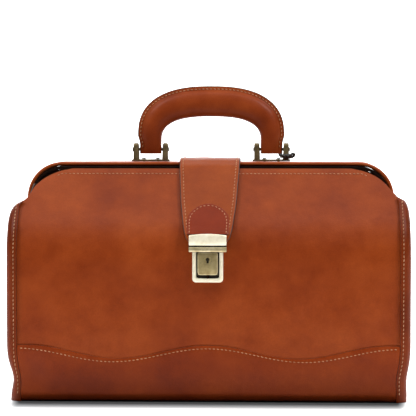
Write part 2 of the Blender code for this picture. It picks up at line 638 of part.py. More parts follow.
def main():
    for old in list(bpy.data.objects):
        bpy.data.objects.remove(old, do_unlink=True)

    cognac = material("cognac_leather", (0.42, 0.12, 0.03), 0.42)
    dark_cognac = material("dark_cognac_leather", (0.30, 0.075, 0.02), 0.45)
    brass = material("antique_brass", (0.42, 0.34, 0.18), 0.38, 1.0)
    pale_brass = material("pale_brass", (0.62, 0.55, 0.38), 0.32, 1.0)
    steel = material("black_steel", (0.02, 0.018, 0.016), 0.5, 1.0)
    cloth = material("lining_cloth", (0.16, 0.11, 0.07), 0.9)
    board = material("grey_board", (0.35, 0.32, 0.28), 0.9)
    cord = material("black_cord", (0.01, 0.01, 0.01), 0.7)

    # Fixed lower bag
    front_panel = wall_panel("front_panel", FRONT, cognac)
    wall_panel("back_panel", BACK, cognac)
    gusset("left_gusset", LEFT, cognac)
    gusset("right_gusset", RIGHT, cognac)
    prism("bottom_panel", "z", rectangle(-192.5, 192.5, -86.0, 86.0), 0, 3, cognac)
    prism("base_board", "z", rectangle(-190, 190, -84.0, 84.0), 3.3, 5.3, board)
    base_band("front_base_band", FRONT, dark_cognac)
    base_band("back_base_band", BACK, dark_cognac)
    open_box("lining", 190.5, 86.6, 5.6, 122, 1.2, cloth)
    prism("inner_pocket", "y", rectangle(-95, 95, 45, 115), 83.0, 85.1, cloth)
    plate = lock_plate("lock_plate", pale_brass)
    lock_button(pale_brass, steel)
    lock_barrel(pale_brass, steel)
    rod("lock_spring", "z", (0, -96.2), [(119.9, 1.2), (126.0, 1.2)], steel, 8)
    backing = prism("lock_backing_plate", "y", rectangle(-14, 14, 120, 147), -89.1, -87.9, steel)
    lock_rivets((plate, backing, front_panel), steel)

    # The two hinged halves
    for half, word in ((FRONT, "front"), (BACK, "back")):
        frame_bar(f"{word}_frame_bar", half, steel)
        frame_cover(f"{word}_frame_cover", half, cognac)
        sloping_panel(f"{word}_panel_upper", half, cognac)
        for end, side in ((LEFT, "left"), (RIGHT, "right")):
            gusset_leaf(f"{word}_gusset_leaf_{side}", half, end, cognac)
    hinge_pin("left_hinge_pin", LEFT, steel)
    hinge_pin("right_hinge_pin", RIGHT, steel)

    # Handle
    core = handle_strip("handle_core", steel, 0.42, 0.58, 3.2)
    channel = handle_strip("handle_core_channel", steel, 0.40, 0.60, 3.5)
    stretch_ends(channel)
    grip = handle_grip("handle_grip", cognac, channel)
    spine = handle_spine("handle_spine", dark_cognac)
    back_bar, back_cover = bpy.data.objects["back_frame_bar"], bpy.data.objects["back_frame_cover"]
    for end, side in ((LEFT, "left"), (RIGHT, "right")):
        plate = bracket(f"{side}_handle_bracket", end, brass)
        handle_pin(f"{side}_handle_pin", end, brass)
        bore = [(end * 50, HANDLE_BORE_RADIUS), (end * 75.2, HANDLE_BORE_RADIUS)]
        hole = rod(f"{side}_handle_bore", "x", (PIVOT_Y, PIVOT_Z), bore, brass)
        for piece in (core, grip, spine):
            cut(piece, hole)
        for number, x in enumerate((55.5, 70.0), 1):
            bracket_screw(f"{side}_bracket_screw_{number}", end * x, PIVOT_Y, brass)
            shank = [(FRAME_TOP - BAR_IN - 5, 1.4), (PLATE_TOP + 5, 1.4)]
            hole = rod(f"{side}_screw_hole_{number}", "z", (end * x, PIVOT_Y), shank, brass, 12)
            for piece in (plate, back_cover, back_bar):
                cut(piece, hole)
    cord_tie("cord_tie", cord)

    # Strap and hasp
    _, _, _, first_pivot, second_pivot = straps(cognac)
    strap_patch("strap_patch", dark_cognac)
    hasp("hasp_cap", pale_brass)

    hinge_empty("front_half_axis", 0, -FOLD_Y, FOLD_Z, [
        "front_frame_bar", "front_frame_cover", "front_panel_upper", "front_gusset_leaf_left",
        "front_gusset_leaf_right"])
    hinge_empty("back_half_axis", 0, FOLD_Y, FOLD_Z, [
        "back_frame_bar", "back_frame_cover", "back_panel_upper", "back_gusset_leaf_left",
        "back_gusset_leaf_right", "left_handle_bracket", "right_handle_bracket", "strap_top",
        "left_bracket_screw_1", "left_bracket_screw_2", "right_bracket_screw_1",
        "right_bracket_screw_2", "left_handle_pin", "right_handle_pin", "cord_tie"])
    hinge_empty("hinge_pins_axis", 0, 0, PIN_HEIGHT, ["left_hinge_pin", "right_hinge_pin"])
    hinge_empty("handle_axis", 0, PIVOT_Y, PIVOT_Z, ["handle_core", "handle_grip", "handle_spine"])
    hinge_empty("strap_fold_axis", 0, *first_pivot, ["strap_upper"])
    hinge_empty("strap_lift_axis", 0, *second_pivot, ["strap_front", "strap_patch", "hasp_cap"])
    hinge_empty("lock_button_axis", 0, -97.8, 137.2, ["lock_button", "latch_pawl"])
    hinge_empty("lock_barrel_axis", 0, -97.8, LOCK_Z, ["lock_barrel", "lock_cam"])


main()
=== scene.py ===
"""The looks of the leather doctor bag: leather, stitching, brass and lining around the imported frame."""

import json
import math

import bmesh
import bpy
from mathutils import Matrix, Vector, noise


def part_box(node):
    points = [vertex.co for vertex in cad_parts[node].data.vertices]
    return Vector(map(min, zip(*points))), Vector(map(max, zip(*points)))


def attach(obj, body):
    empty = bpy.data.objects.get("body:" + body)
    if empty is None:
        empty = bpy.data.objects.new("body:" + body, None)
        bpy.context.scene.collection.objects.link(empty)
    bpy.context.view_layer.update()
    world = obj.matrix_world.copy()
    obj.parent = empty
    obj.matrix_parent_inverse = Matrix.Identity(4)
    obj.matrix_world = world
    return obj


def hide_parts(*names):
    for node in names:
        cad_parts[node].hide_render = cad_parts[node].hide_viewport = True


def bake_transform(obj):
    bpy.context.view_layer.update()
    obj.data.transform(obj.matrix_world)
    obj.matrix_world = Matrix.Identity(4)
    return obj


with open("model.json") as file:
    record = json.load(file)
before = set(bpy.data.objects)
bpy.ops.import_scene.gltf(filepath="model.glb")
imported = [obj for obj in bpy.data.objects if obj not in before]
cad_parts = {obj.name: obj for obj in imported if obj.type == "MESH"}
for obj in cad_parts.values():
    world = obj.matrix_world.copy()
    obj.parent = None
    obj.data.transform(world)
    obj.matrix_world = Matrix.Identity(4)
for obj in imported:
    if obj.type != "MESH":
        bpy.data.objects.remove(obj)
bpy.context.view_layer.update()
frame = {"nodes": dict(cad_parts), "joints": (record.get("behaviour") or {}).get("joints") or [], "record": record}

MM = 0.001
FRONT, BACK = -1, 1
LEFT, RIGHT = -1, 1
SIDES = ((LEFT, "left"), (RIGHT, "right"))
HALVES = ((FRONT, "front"), (BACK, "back"))

JOINTS = {joint["name"]: joint for joint in frame["joints"]}
FOLD_Y, FOLD_Z = (abs(value) for value in JOINTS["front_frame_hinge"]["pos_m"][1:])
PIVOT_Y, PIVOT_Z = JOINTS["handle_swing"]["pos_m"][1:]
FRAME_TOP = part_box("front_frame_cover")[1].z
FRAME_HALF_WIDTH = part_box("front_frame_cover")[1].x

# ---------------------------------------------------------------- camera


def camera():
    """The photograph's view: a little above the bag and a little to its right, with a long lens."""
    distance, azimuth, height = 1.80, math.radians(1.8), 0.2756
    aim = Vector((-0.0029, 0.0, 0.1873))
    data = bpy.data.cameras.new("camera")
    data.sensor_width = 36.0
    data.lens = 150.6
    data.clip_start, data.clip_end = 0.05, 50
    made = bpy.data.objects.new("camera", data)
    bpy.context.scene.collection.objects.link(made)
    made.location = (distance * math.sin(azimuth), -distance * math.cos(azimuth), height)
    made.rotation_mode = "QUATERNION"
    made.rotation_quaternion = (aim - made.location).to_track_quat("-Z", "Y")
    bpy.context.scene.camera = made


# ---------------------------------------------------------------- materials


class Nodes:
    """A material's node tree, with short calls for the nodes that the finishes share."""

    def __init__(self, name):
        self.made = bpy.data.materials.new(name)
        self.made.use_nodes = True
        self.tree = self.made.node_tree
        self.shader = self.tree.nodes["Principled BSDF"]
        self.place = self.new("ShaderNodeTexCoord").outputs["Object"]

    def new(self, kind, **inputs):
        node = self.tree.nodes.new(kind)
        for name, value in inputs.items():
            self.feed(node.inputs[name.replace("_", " ")], value)
        return node

    def feed(self, socket, value):
        if isinstance(value, bpy.types.NodeSocket):
            self.tree.links.new(value, socket)
        else:
            socket.default_value = value

    def stretched(self, scale):
        node = self.new("ShaderNodeMapping", Vector=self.place)
        node.inputs["Scale"].default_value = scale
        return node.outputs["Vector"]

    def noise(self, scale, detail=3.0, roughness=0.5, vector=None):
        node = self.new("ShaderNodeTexNoise", Vector=vector or self.place, Scale=scale)
        node.inputs["Detail"].default_value = detail
        node.inputs["Roughness"].default_value = roughness
        return node.outputs["Fac"]

    def cells(self, scale):
        return self.new("ShaderNodeTexVoronoi", Vector=self.place, Scale=scale).outputs["Distance"]

    def waves(self, scale, distortion, direction="DIAGONAL"):
        node = self.new("ShaderNodeTexWave", Vector=self.place, Scale=scale, Distortion=distortion)
        node.bands_direction = direction
        return node.outputs["Fac"]

    def ramp(self, value, stops):
        node = self.new("ShaderNodeValToRGB", Fac=value)
        ramp = node.color_ramp
        while len(ramp.elements) < len(stops):
            ramp.elements.new(0.5)
        for element, (position, colour) in zip(ramp.elements, stops):
            element.position = position
            element.color = (*colour, 1.0)
        return node.outputs["Color"]

    def span(self, value, low, high, to_low, to_high):
        node = self.new("ShaderNodeMapRange", Value=value)
        names = ("From Min", "From Max", "To Min", "To Max")
        for name, number in zip(names, (low, high, to_low, to_high)):
            node.inputs[name].default_value = number
        return node.outputs["Result"]

    def maths(self, operation, *values):
        node = self.new("ShaderNodeMath")
        node.operation = operation
        for socket, value in zip(node.inputs, values):
            self.feed(socket, value)
        return node.outputs["Value"]

    def multiplied(self, *colours):
        """Two colours, one multiplied by the other."""
        node = self.new("ShaderNodeMix")
        node.data_type = "RGBA"
        node.blend_type = "MULTIPLY"
        self.feed(node.inputs["Factor"], 1.0)
        for socket, colour in zip([socket for socket in node.inputs if socket.type == "RGBA"], colours):
            self.feed(socket, colour)
        return [socket for socket in node.outputs if socket.type == "RGBA"][0]

    def bump(self, height, distance, strength=1.0, normal=None):
        node = self.new("ShaderNodeBump", Height=height, Distance=distance, Strength=strength)
        if normal:
            self.feed(node.inputs["Normal"], normal)
        return node.outputs["Normal"]

    def finish(self, colour, roughness, normal=None, **constants):
        self.feed(self.shader.inputs["Base Color"], colour)
        self.feed(self.shader.inputs["Roughness"], roughness)
        if normal:
            self.feed(self.shader.inputs["Normal"], normal)
        for name, value in constants.items():
            self.shader.inputs[name.replace("_", " ")].default_value = value
        return self.made


def leather(name, dark, middle, light, rough=0.42):
    """Polished vegetable-tanned leather: cloudy dye, fine pores and soft creases."""
    n = Nodes(name)
    broad = n.noise(11.0, 4.0, 0.55)
    cloudy = n.noise(34.0, 5.0, 0.62)
    mixed = n.maths("ADD", n.maths("MULTIPLY", broad, 0.55), n.maths("MULTIPLY", cloudy, 0.45))
    dye = n.ramp(mixed, ((0.38, dark), (0.50, middle), (0.64, light)))
    speckle = n.noise(900.0, 2.0)
    shade = n.span(speckle, 0.3, 0.7, 0.90, 1.06)
    grey = n.new("ShaderNodeCombineColor", Red=shade, Green=shade, Blue=shade)
    colour = n.multiplied(dye, grey.outputs["Color"])
    gloss = n.span(cloudy, 0.3, 0.7, rough - 0.05, rough + 0.07)
    soft = n.bump(n.noise(70.0, 4.0, 0.6), 0.0012, 0.35)
    pores = n.maths("MULTIPLY", n.cells(1500.0), 0.7)
    grain = n.bump(n.maths("ADD", pores, speckle), 0.00016, 0.55, soft)
    return n.finish(colour, gloss, grain, Specular_IOR_Level=0.10, Coat_Weight=0.018,
                    Coat_Roughness=0.26)


def edge_paint():
    """Burnished dark edge of cut leather."""
    n = Nodes("edge_paint")
    tone = n.noise(160.0, 3.0)
    colour = n.ramp(tone, ((0.35, (0.018, 0.007, 0.004)), (0.7, (0.055, 0.018, 0.009))))
    return n.finish(colour, n.span(tone, 0.3, 0.7, 0.38, 0.55), n.bump(n.noise(700.0), 0.0002, 0.5))


def thread():
    """Waxed pale thread, twisted."""
    n = Nodes("thread")
    tone = n.noise(120.0, 2.0)
    colour = n.ramp(tone, ((0.3, (0.26, 0.115, 0.045)), (0.7, (0.46, 0.235, 0.110))))
    return n.finish(colour, 0.6, n.bump(n.waves(500.0, 1.5), 0.0001, 0.6))


def brass(name, dark, middle, light, rough, metal=1.0):
    """Plated brass with fine brushing and a patina in its hollows."""
    n = Nodes(name)
    patina = n.noise(130.0, 5.0, 0.62)
    lines = n.noise(1.0, 3.0, 0.6, n.stretched((40.0, 40.0, 900.0)))
    colour = n.ramp(patina, ((0.32, dark), (0.52, middle), (0.74, light)))
    gloss = n.maths("ADD", n.span(patina, 0.3, 0.7, rough + 0.1, rough - 0.05),
                    n.span(lines, 0.3, 0.7, -0.04, 0.05))
    worn = n.bump(patina, 0.0002, 0.3)
    return n.finish(colour, gloss, n.bump(lines, 0.00006, 0.5, worn), Metallic=metal)


def lacquered_steel():
    """Near-black lacquer on the frame's steel, dull with wear."""
    n = Nodes("lacquered_steel")
    tone = n.noise(200.0, 4.0)
    colour = n.ramp(tone, ((0.3, (0.0065, 0.0024, 0.0012)), (0.75, (0.017, 0.0062, 0.0032))))
    return n.finish(colour, n.span(tone, 0.3, 0.7, 0.75, 0.85), n.bump(n.noise(1100.0), 0.0001, 0.5),
                    Specular_IOR_Level=0.04)


def woven(name, dark, light):
    """A plain woven cloth: threads over and under, with a soft sheen."""
    n = Nodes(name)
    along_x, along_y, along_z = (n.waves(1900.0 / 6.3, 0.6, direction) for direction in "XYZ")
    height = n.maths("ADD", n.maths("ADD", along_x, along_y), along_z)
    tone = n.maths("ADD", n.maths("MULTIPLY", height, 0.2), n.maths("MULTIPLY", n.noise(60.0, 4.0), 0.5))
    colour = n.ramp(tone, ((0.3, dark), (0.8, light)))
    return n.finish(colour, 0.85, n.bump(height, 0.0002, 0.6), Sheen_Weight=0.25, Sheen_Roughness=0.5)


def fibre_board():
    """Grey pressed board with its fibres along the bag."""
    n = Nodes("fibre_board")
    fibres = n.noise(1.0, 4.0, 0.6, n.stretched((90.0, 420.0, 420.0)))
    colour = n.ramp(fibres, ((0.3, (0.20, 0.17, 0.13)), (0.7, (0.36, 0.31, 0.25))))
    return n.finish(colour, 0.9, n.bump(fibres, 0.0004, 0.5))


def waxed_cord():
    """Black braided cord."""
    n = Nodes("waxed_cord")
    braid = n.waves(260.0, 3.0)
    colour = n.ramp(braid, ((0.2, (0.004, 0.004, 0.004)), (0.8, (0.02, 0.018, 0.017))))
    return n.finish(colour, 0.5, n.bump(braid, 0.0004, 0.7))


COGNAC = leather("cognac_leather",
                 (0.156, 0.0215, 0.0025), (0.200, 0.0312, 0.0038), (0.244, 0.0429, 0.0059))
GUSSET_COGNAC = leather("gusset_leather",
                        (0.097, 0.0122, 0.0010), (0.126, 0.0170, 0.0014), (0.158, 0.0230, 0.0022))
STRAP_COGNAC = leather("strap_leather",
                       (0.184, 0.0293, 0.0036), (0.220, 0.0391, 0.0050), (0.256, 0.0505, 0.0070))
DARK_COGNAC = leather("band_leather",
                      (0.130, 0.0157, 0.0016), (0.166, 0.0224, 0.0023), (0.205, 0.0314, 0.0034))
HANDLE_COGNAC = leather("handle_leather",
                        (0.142, 0.0198, 0.0028), (0.189, 0.0290, 0.0042), (0.241, 0.0422, 0.0066))
# A lighter copy of the cognac leather for the frame covers: painted light for the light falling on the frame's
# top.
COVER_COGNAC_PAINTED_LIGHT = leather("cover_leather",
                       (0.202, 0.0310, 0.0049), (0.254, 0.0439, 0.0071), (0.310, 0.0602, 0.0105))
PATCH_COGNAC = leather("patch_leather",
                       (0.135, 0.0130, 0.0010), (0.165, 0.0170, 0.0015), (0.200, 0.0230, 0.0024))
# Near-black leather: painted shade for faces in the dark recess of the mouth (the valance's face and the gusset
# folds' inner face).
RECESS_SHADE_LEATHER = leather("recess_shade_leather",
                 (0.020, 0.0080, 0.0042), (0.030, 0.0120, 0.0062), (0.045, 0.0180, 0.0095), 0.7)
SUEDE = leather("flesh_side", (0.16, 0.085, 0.045), (0.22, 0.125, 0.070), (0.29, 0.17, 0.10), 0.85)
PIN_BRASS = brass("pin_brass",
                  (0.035, 0.028, 0.016), (0.09, 0.07, 0.038), (0.17, 0.135, 0.08), 0.42)
EDGE = edge_paint()
THREAD = thread()
ANTIQUE = brass("antique_brass",
                (0.080, 0.055, 0.022), (0.135, 0.096, 0.042), (0.22, 0.165, 0.082), 0.42, 0.7)
# Pale brass, painted much lighter and less metallic than the metal: partly its own pale colour, partly a painted
# reflection of bright light on the hasp cap and the lock plate's rim.
PALE_REFLECTION_BRASS = brass("pale_brass", (0.78, 0.70, 0.50), (0.90, 0.83, 0.63), (0.98, 0.93, 0.76), 0.38, 0.45)
BAR_BRASS = brass("bar_brass",
                  (0.36, 0.28, 0.14), (0.52, 0.43, 0.25), (0.70, 0.62, 0.42), 0.36, 0.75)
BUTTON_BRASS = brass("button_brass",
                     (0.25, 0.19, 0.080), (0.33, 0.26, 0.120), (0.42, 0.34, 0.17), 0.40, 0.8)
SHADOW_METAL = brass("shadow_metal",
                     (0.010, 0.007, 0.004), (0.022, 0.016, 0.010), (0.05, 0.038, 0.022), 0.5, 0.6)
STEEL = lacquered_steel()
CLOTH = woven("lining_cloth", (0.075, 0.048, 0.030), (0.165, 0.115, 0.075))
BOARD = fibre_board()
CORD = waxed_cord()

# ---------------------------------------------------------------- mesh helpers


def mm(x, y, z):
    """A point given in millimetres."""
    return Vector((x, y, z)) * MM


def build(name, points, faces, finishes, face_finish=None, smooth=40):
    """An object from points in metres, its faces turned outwards and smooth up to an angle."""
    shape = bmesh.new()
    corners = [shape.verts.new(point) for point in points]
    for index, face in enumerate(faces):
        made = shape.faces.new([corners[corner] for corner in face])
        made.smooth = True
        if face_finish:
            made.material_index = face_finish[index]
    bmesh.ops.recalc_face_normals(shape, faces=shape.faces)
    mesh = bpy.data.meshes.new(name)
    shape.to_mesh(mesh)
    shape.free()
    for finish in finishes:
        mesh.materials.append(finish)
    mesh.set_sharp_from_angle(angle=math.radians(smooth))
    made = bpy.data.objects.new(name, mesh)
    bpy.context.scene.collection.objects.link(made)
    return made


def shell(name, outer, inner, finishes, smooth=40):
    """A sheet between two grids of points: outer face, inner face and rims, one finish for each."""
    rows, columns = len(outer), len(outer[0])
    points = [p for row in outer for p in row] + [p for row in inner for p in row]
    shift = rows * columns
    faces, looks = [], []

    def quad(a, b, c, d, look):
        faces.append((a, b, c, d))
        looks.append(look)

    for r in range(rows - 1):
        for c in range(columns - 1):
            a, b = r * columns + c, r * columns + c + 1
            quad(a, b, b + columns, a + columns, 0)
            quad(shift + a, shift + b, shift + b + columns, shift + a + columns, 1)
    for c in range(columns - 1):
        for r in (0, rows - 1):
            a = r * columns + c
            quad(a, a + 1, shift + a + 1, shift + a, 2)
    for r in range(rows - 1):
        for c in (0, columns - 1):
            a = r * columns + c
            quad(a, a + columns, shift + a + columns, shift + a, 2)
    return build(name, points, faces, finishes, looks, smooth)


def circle(count, phase=0.0):
    """(cosine, sine) at even steps round a circle, the first one a share of a step on."""
    angles = [2 * math.pi * (step + phase) / count for step in range(count)]
    return [(math.cos(angle), math.sin(angle)) for angle in angles]


def arc(start, sweep, steps, first=0):
    """(cosine, sine) at even steps of an arc given in degrees."""
    angles = [math.radians(start + sweep * step / steps) for step in range(first, steps + 1)]
    return [(math.cos(angle), math.sin(angle)) for angle in angles]


def squarish(c, s, power):
    """The reach of a rounded square in a direction: a circle at power 2, squarer above it."""
    return (abs(c) ** power + abs(s) ** power) ** (-1 / power)


def shares(count, first=0):
    """Even shares of a length, from 0 to 1."""
    return [step / count for step in range(first, count + 1)]


def across(count):
    """Even shares of a width, from -1 at one edge to 1 at the other."""
    return [2 * step / count - 1 for step in range(count + 1)]


def curve(first, corner, last, t):
    """A point of the curve between two points that bends towards a corner."""
    return tuple((1 - t) ** 2 * a + 2 * t * (1 - t) * b + t * t * c for a, b, c in zip(first, corner, last))


def lengths_along(line):
    """The distance from a line's start to each of its points."""
    lengths = [0.0]
    for a, b in zip(line, line[1:]):
        lengths.append(lengths[-1] + math.dist(a, b))
    return lengths


def place(made, body, slot, *nodes):
    """A piece's body and the CAD nodes it stands for, which are hidden. The slot is not used."""
    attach(made, body)
    if nodes:
        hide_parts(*nodes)


def place_over_shoulder(made, half, word, *nodes):
    """For a leather piece that bends along the shoulder fold: its transform is baked and the CAD nodes it stands
    for are hidden. The half is not used.
    """
    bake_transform(made)
    if nodes:
        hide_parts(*nodes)


def tube(name, sections, finishes, smooth=40, look=None, cap=None, ring=False):
    """A solid through closed loops of points, capped with the last finish or closed to a ring.

    look(row, spot) gives the finish of each face along it, where that isn't always the first one.
    """
    count = len(sections[0])
    points = [p for section in sections for p in section]
    faces, looks = [], []
    if not ring:
        faces = [tuple(range(count)), tuple(range(len(points) - count, len(points)))]
        looks = [len(finishes) - 1 if cap is None else cap] * 2
    for row in range(len(sections) if ring else len(sections) - 1):
        low, high = row * count, (row + 1) % len(sections) * count
        for c in range(count):
            beside = (c + 1) % count
            faces.append((low + c, low + beside, high + beside, high + c))
            looks.append(look(row, c) if look else 0)
    return build(name, points, faces, finishes, looks, smooth)


def normals_of(grid):
    """Unit normals of a grid of points, from its neighbours along both ways."""
    rows, columns = len(grid), len(grid[0])
    result = []
    for r in range(rows):
        line = []
        for c in range(columns):
            along = grid[r][min(c + 1, columns - 1)] - grid[r][max(c - 1, 0)]
            up = grid[min(r + 1, rows - 1)][c] - grid[max(r - 1, 0)][c]
            normal = along.cross(up)
            line.append(normal.normalized() if normal.length > 1e-12 else Vector((0, 0, 1)))
        result.append(line)
    return result


def lined(grid, thickness, sample, outward):
    """The grid moved inwards by a thickness: the normal at the sample tells which side is out."""
    normals = normals_of(grid)
    row, column = sample
    inwards = -thickness if normals[row][column].dot(Vector(outward)) > 0 else thickness
    return [[p + n * inwards for p, n in zip(*rows)] for rows in zip(grid, normals)]


def resample(points, pitch):
    """Points at an even pitch along a line, with the direction there."""
    lengths = lengths_along(points)
    count = max(1, round(lengths[-1] / pitch))
    found, index = [], 0
    for step in range(count):
        spot = (step + 0.5) * lengths[-1] / count
        while lengths[index + 1] < spot:
            index += 1
        a, b = points[index], points[index + 1]
        share = (spot - lengths[index]) / (lengths[index + 1] - lengths[index])
        found.append((a.lerp(b, share), (b - a).normalized(), index, share))
    return found


STITCH_PITCH = 4.0 * MM
STITCH_LENGTH = 2.6 * MM
STITCH_RADIUS = 0.38 * MM
STITCH_SLANT = 0.12


def stitches(name, lines):
    """Stitches along lines. Each line is a list of points and a list of outward directions."""
    points, faces = [], []
    rings, around = 5, 6
    for line, outs in lines:
        for centre, along, index, share in resample(line, STITCH_PITCH):
            out = outs[index].lerp(outs[min(index + 1, len(outs) - 1)], share).normalized()
            along = (along + along.cross(out).normalized() * STITCH_SLANT).normalized()
            side = along.cross(out).normalized()
            base = len(points)
            for t in across(rings - 1):
                radius = STITCH_RADIUS * math.sqrt(max(0.08, 1 - t * t * 0.92))
                rise = STITCH_RADIUS * (0.35 - 0.9 * t * t)
                middle = centre + along * (t * STITCH_LENGTH / 2) + out * rise
                points += [middle + (side * c * 1.15 + out * s) * radius for c, s in circle(around)]
            for ring in range(rings - 1):
                low, high = base + ring * around, base + (ring + 1) * around
                for step in range(around):
                    beside = (step + 1) % around
                    faces.append((low + step, low + beside, high + beside, high + step))
            faces.append(tuple(base + step for step in range(around)))
            faces.append(tuple(base + (rings - 1) * around + step for step in range(around)))
    return build(name, points, faces, [THREAD], smooth=80)


def ripple(point, amount, scale, seed=0.0):
    """A smooth unevenness of hand-made leather at a point."""
    return amount * noise.noise(point * scale + Vector((seed, seed * 1.7, -seed)))


def clamped(value):
    """The value, kept between 0 and 1."""
    return min(1.0, max(0.0, value))


def smooth_step(value):
    """A soft rise from 0 to 1."""
    value = clamped(value)
    return value * value * (3 - 2 * value)


def straight(table, value, ease=lambda share: max(0.0, share)):
    """The value at a place in a table of (place, value) rows, in straight lines between them."""
    for (low, first), (high, second) in zip(table, table[1:]):
        if value <= high:
            return first + (second - first) * ease((value - low) / (high - low))
    return table[-1][1]


def eased(table, value):
    """The same with a soft turn at each row."""
    return straight(table, value, smooth_step)


# ---------------------------------------------------------------- shape of the bag's walls, in millimetres

PANEL_PROFILE = [(0, 89.5), (8, 92), (30, 93), (130, 93), (150, 92.4), (164, 91)]
LIP_DEPTH, LIP_WIDTH, CORNER = 95.5, 11.0, 9.0
SLOPE_TOP_Y, SLOPE_TOP_Z = 38.0, 229.0
FOLD = (FOLD_Y / MM, FOLD_Z / MM)
LEAN = math.atan2(FOLD[0] - SLOPE_TOP_Y, SLOPE_TOP_Z - FOLD[1])
SLOPE_LENGTH = math.hypot(FOLD[0] - SLOPE_TOP_Y, SLOPE_TOP_Z - FOLD[1])
# Distance up the slope and the panel's reach towards each end there
SLOPE_WIDTHS = {LEFT: [(0, 190.5), (38, 190.5), (43, 187.2), (46, 182.8), (50, 180.8), (56, 178.3),
                       (62, 175.6), (70, 168.6), (75, 162.4), (79, 155.5), (82, 148.5), (84.2, 139.0)],
                RIGHT: [(0, 190.5), (44, 190.5), (50, 187.4), (54, 184.4), (58, 181.4), (64, 177.6),
                        (70, 172.5), (75, 166.5), (79, 160.0), (82, 152.5), (84.2, 143.0)]}
FOOT_RADIUS, FOOT_GAP = 3.5, 0.15
WIDEST, PANEL_REACH = 200.0, 190.5
# How far the leather bends on each side of the shoulder fold
FOLD_REACH = 24.0
PANEL_END = SLOPE_LENGTH + 0.3
GUSSET_LEATHER = 2.4
PANEL_LEATHER = 3.0


def half_width(height):
    """Half the bag's width: it spreads a little from the foot upwards, with a slight waist low down."""
    spread = max(0.0, 1 - height / 60)
    waist = 2.6 * math.exp(-((height - 22) / 15) ** 2)
    return WIDEST - 3.4 * spread**2 - waist


def slope(distance, depth=0.0):
    """(y, z) on the front slope: distance up from the fold and depth below its outer face."""
    y = -FOLD[0] + distance * math.sin(LEAN) + depth * math.cos(LEAN)
    return y, FOLD[1] + distance * math.cos(LEAN) - depth * math.sin(LEAN)


def panel_line():
    """The front panel's outer face from its foot to its top edge, as (y, z), bent smoothly."""
    foot_y = PANEL_PROFILE[0][1] - FOOT_RADIUS
    line = [(-(foot_y + FOOT_RADIUS * s), FOOT_RADIUS * (1 - c) + FOOT_GAP) for c, s in arc(0, 90, 4)]
    line += [(-eased(PANEL_PROFILE, z), z) for z in range(10, 140, 6)]
    start = (-eased(PANEL_PROFILE, FOLD[1] - FOLD_REACH), FOLD[1] - FOLD_REACH)
    corner = (-FOLD[0] - 0.6, FOLD[1] + 0.4)
    line += [curve(start, corner, slope(FOLD_REACH), t) for t in shares(16)]
    line += [slope(FOLD_REACH + (PANEL_END - FOLD_REACH) * t) for t in shares(20, 1)]
    return line


def panel_width(z, end):
    """The panel's reach towards one end at a height of its line."""
    if z > FOLD[1]:
        return straight(SLOPE_WIDTHS[end], (z - FOLD[1]) / math.cos(LEAN))
    return PANEL_REACH - (WIDEST - half_width(z) if z < 60 else 0.0)


def foot_dent(half, x, z):
    """The depth of the small dent near the front's left foot."""
    if half == BACK:
        return 0.0
    return 2.2 * math.exp(-((x + 171.0) / 10.0) ** 2 - ((z - 25.0) / 15.0) ** 2)


def leather_panel(half, word):
    """One face of the bag in a single skin, from the foot over the shoulder to the frame."""
    columns = 76
    outer = []
    for y, z in panel_line():
        # The slope is a little slack between the frame and the fold, and the wall bellies out.
        slack = 0.9 * math.sin(math.pi * clamped((z - FOLD[1]) / 60.0))
        belly = 0.7 * math.sin(math.pi * clamped((z - 15) / 130.0))
        ends = smooth_step(z / 14.0) * (smooth_step((SLOPE_TOP_Z - z) / 14.0) if z > FOLD[1] else 1.0)
        # Across the slope the outward direction leans up; on the wall it is straight out.
        lean = LEAN * smooth_step((z - 150) / 30.0)
        points = []
        for share in across(columns):
            width = panel_width(z, RIGHT if share > 0 else LEFT)
            x = share * width
            push = belly * (1 - share**6) - slack * (1 - share**4) - foot_dent(half, x, z)
            push += ripple(mm(x, 0, z), 0.85, 16.0, 3.0 + half) + ripple(mm(x, 0, z), 0.30, 46.0, 8.0 + half)
            push *= ends * smooth_step((1 - abs(share)) * width / 22.0)
            points.append(mm(x, half * (push * math.cos(lean) - y), z + push * math.sin(lean)))
        outer.append(points)
    inner = lined(outer, PANEL_LEATHER * MM, (len(outer) // 2, columns // 2), (0, half, 0))
    made = shell(f"{word}_leather", outer, inner, [COGNAC, SUEDE, EDGE], 50)
    place_over_shoulder(made, half, word, f"{word}_panel", f"{word}_panel_upper")


def rim_stitches(half, word):
    """A row of stitches just below the sloping panel's top edge."""
    distances = (74.5, 76.2, 77.4)
    from_edge, inset = 3.0, 3.4
    edge = [(-straight(SLOPE_WIDTHS[LEFT], d + from_edge) + inset, d) for d in distances]
    edge += [(straight(SLOPE_WIDTHS[RIGHT], d + from_edge) - inset, d) for d in reversed(distances)]
    line = []
    for x, distance in edge:
        y, z = slope(distance, -0.25)
        line.append(mm(x, half * -y, z))
    out = Vector((0, half * math.cos(LEAN), math.sin(LEAN)))
    made = stitches(f"{word}_rim_stitches", [(line, [out] * len(line))])
    place(made, f"{word}_half", "cognac_leather")


def frame_valance(half, word):
    """The turned-in leather that hangs from the steel bar and closes the mouth behind the panel; its outer face is
    painted near-black, a painted shade for the recess.
    """
    bar, face_y, thick = 7.8, 26.5, 1.2
    outer = []
    for (x, z), (nx, nz) in frame_line(193.0):
        reach = 9.0 + 18.0 * smooth_step((z - 196.0) / 16.0)
        outer.append([mm(x - d * nx, half * face_y, z - d * nz) for d in (bar, (bar + reach) / 2, reach)])
    inner = [[p - mm(0, half * thick, 0) for p in row] for row in outer]
    made = shell(f"{word}_mouth_valance", outer, inner, [RECESS_SHADE_LEATHER, CLOTH, EDGE], 60)
    place(made, f"{word}_half", "dark_cognac_leather")


# ---------------------------------------------------------------- gussets

LEAF_TOP = 214.0
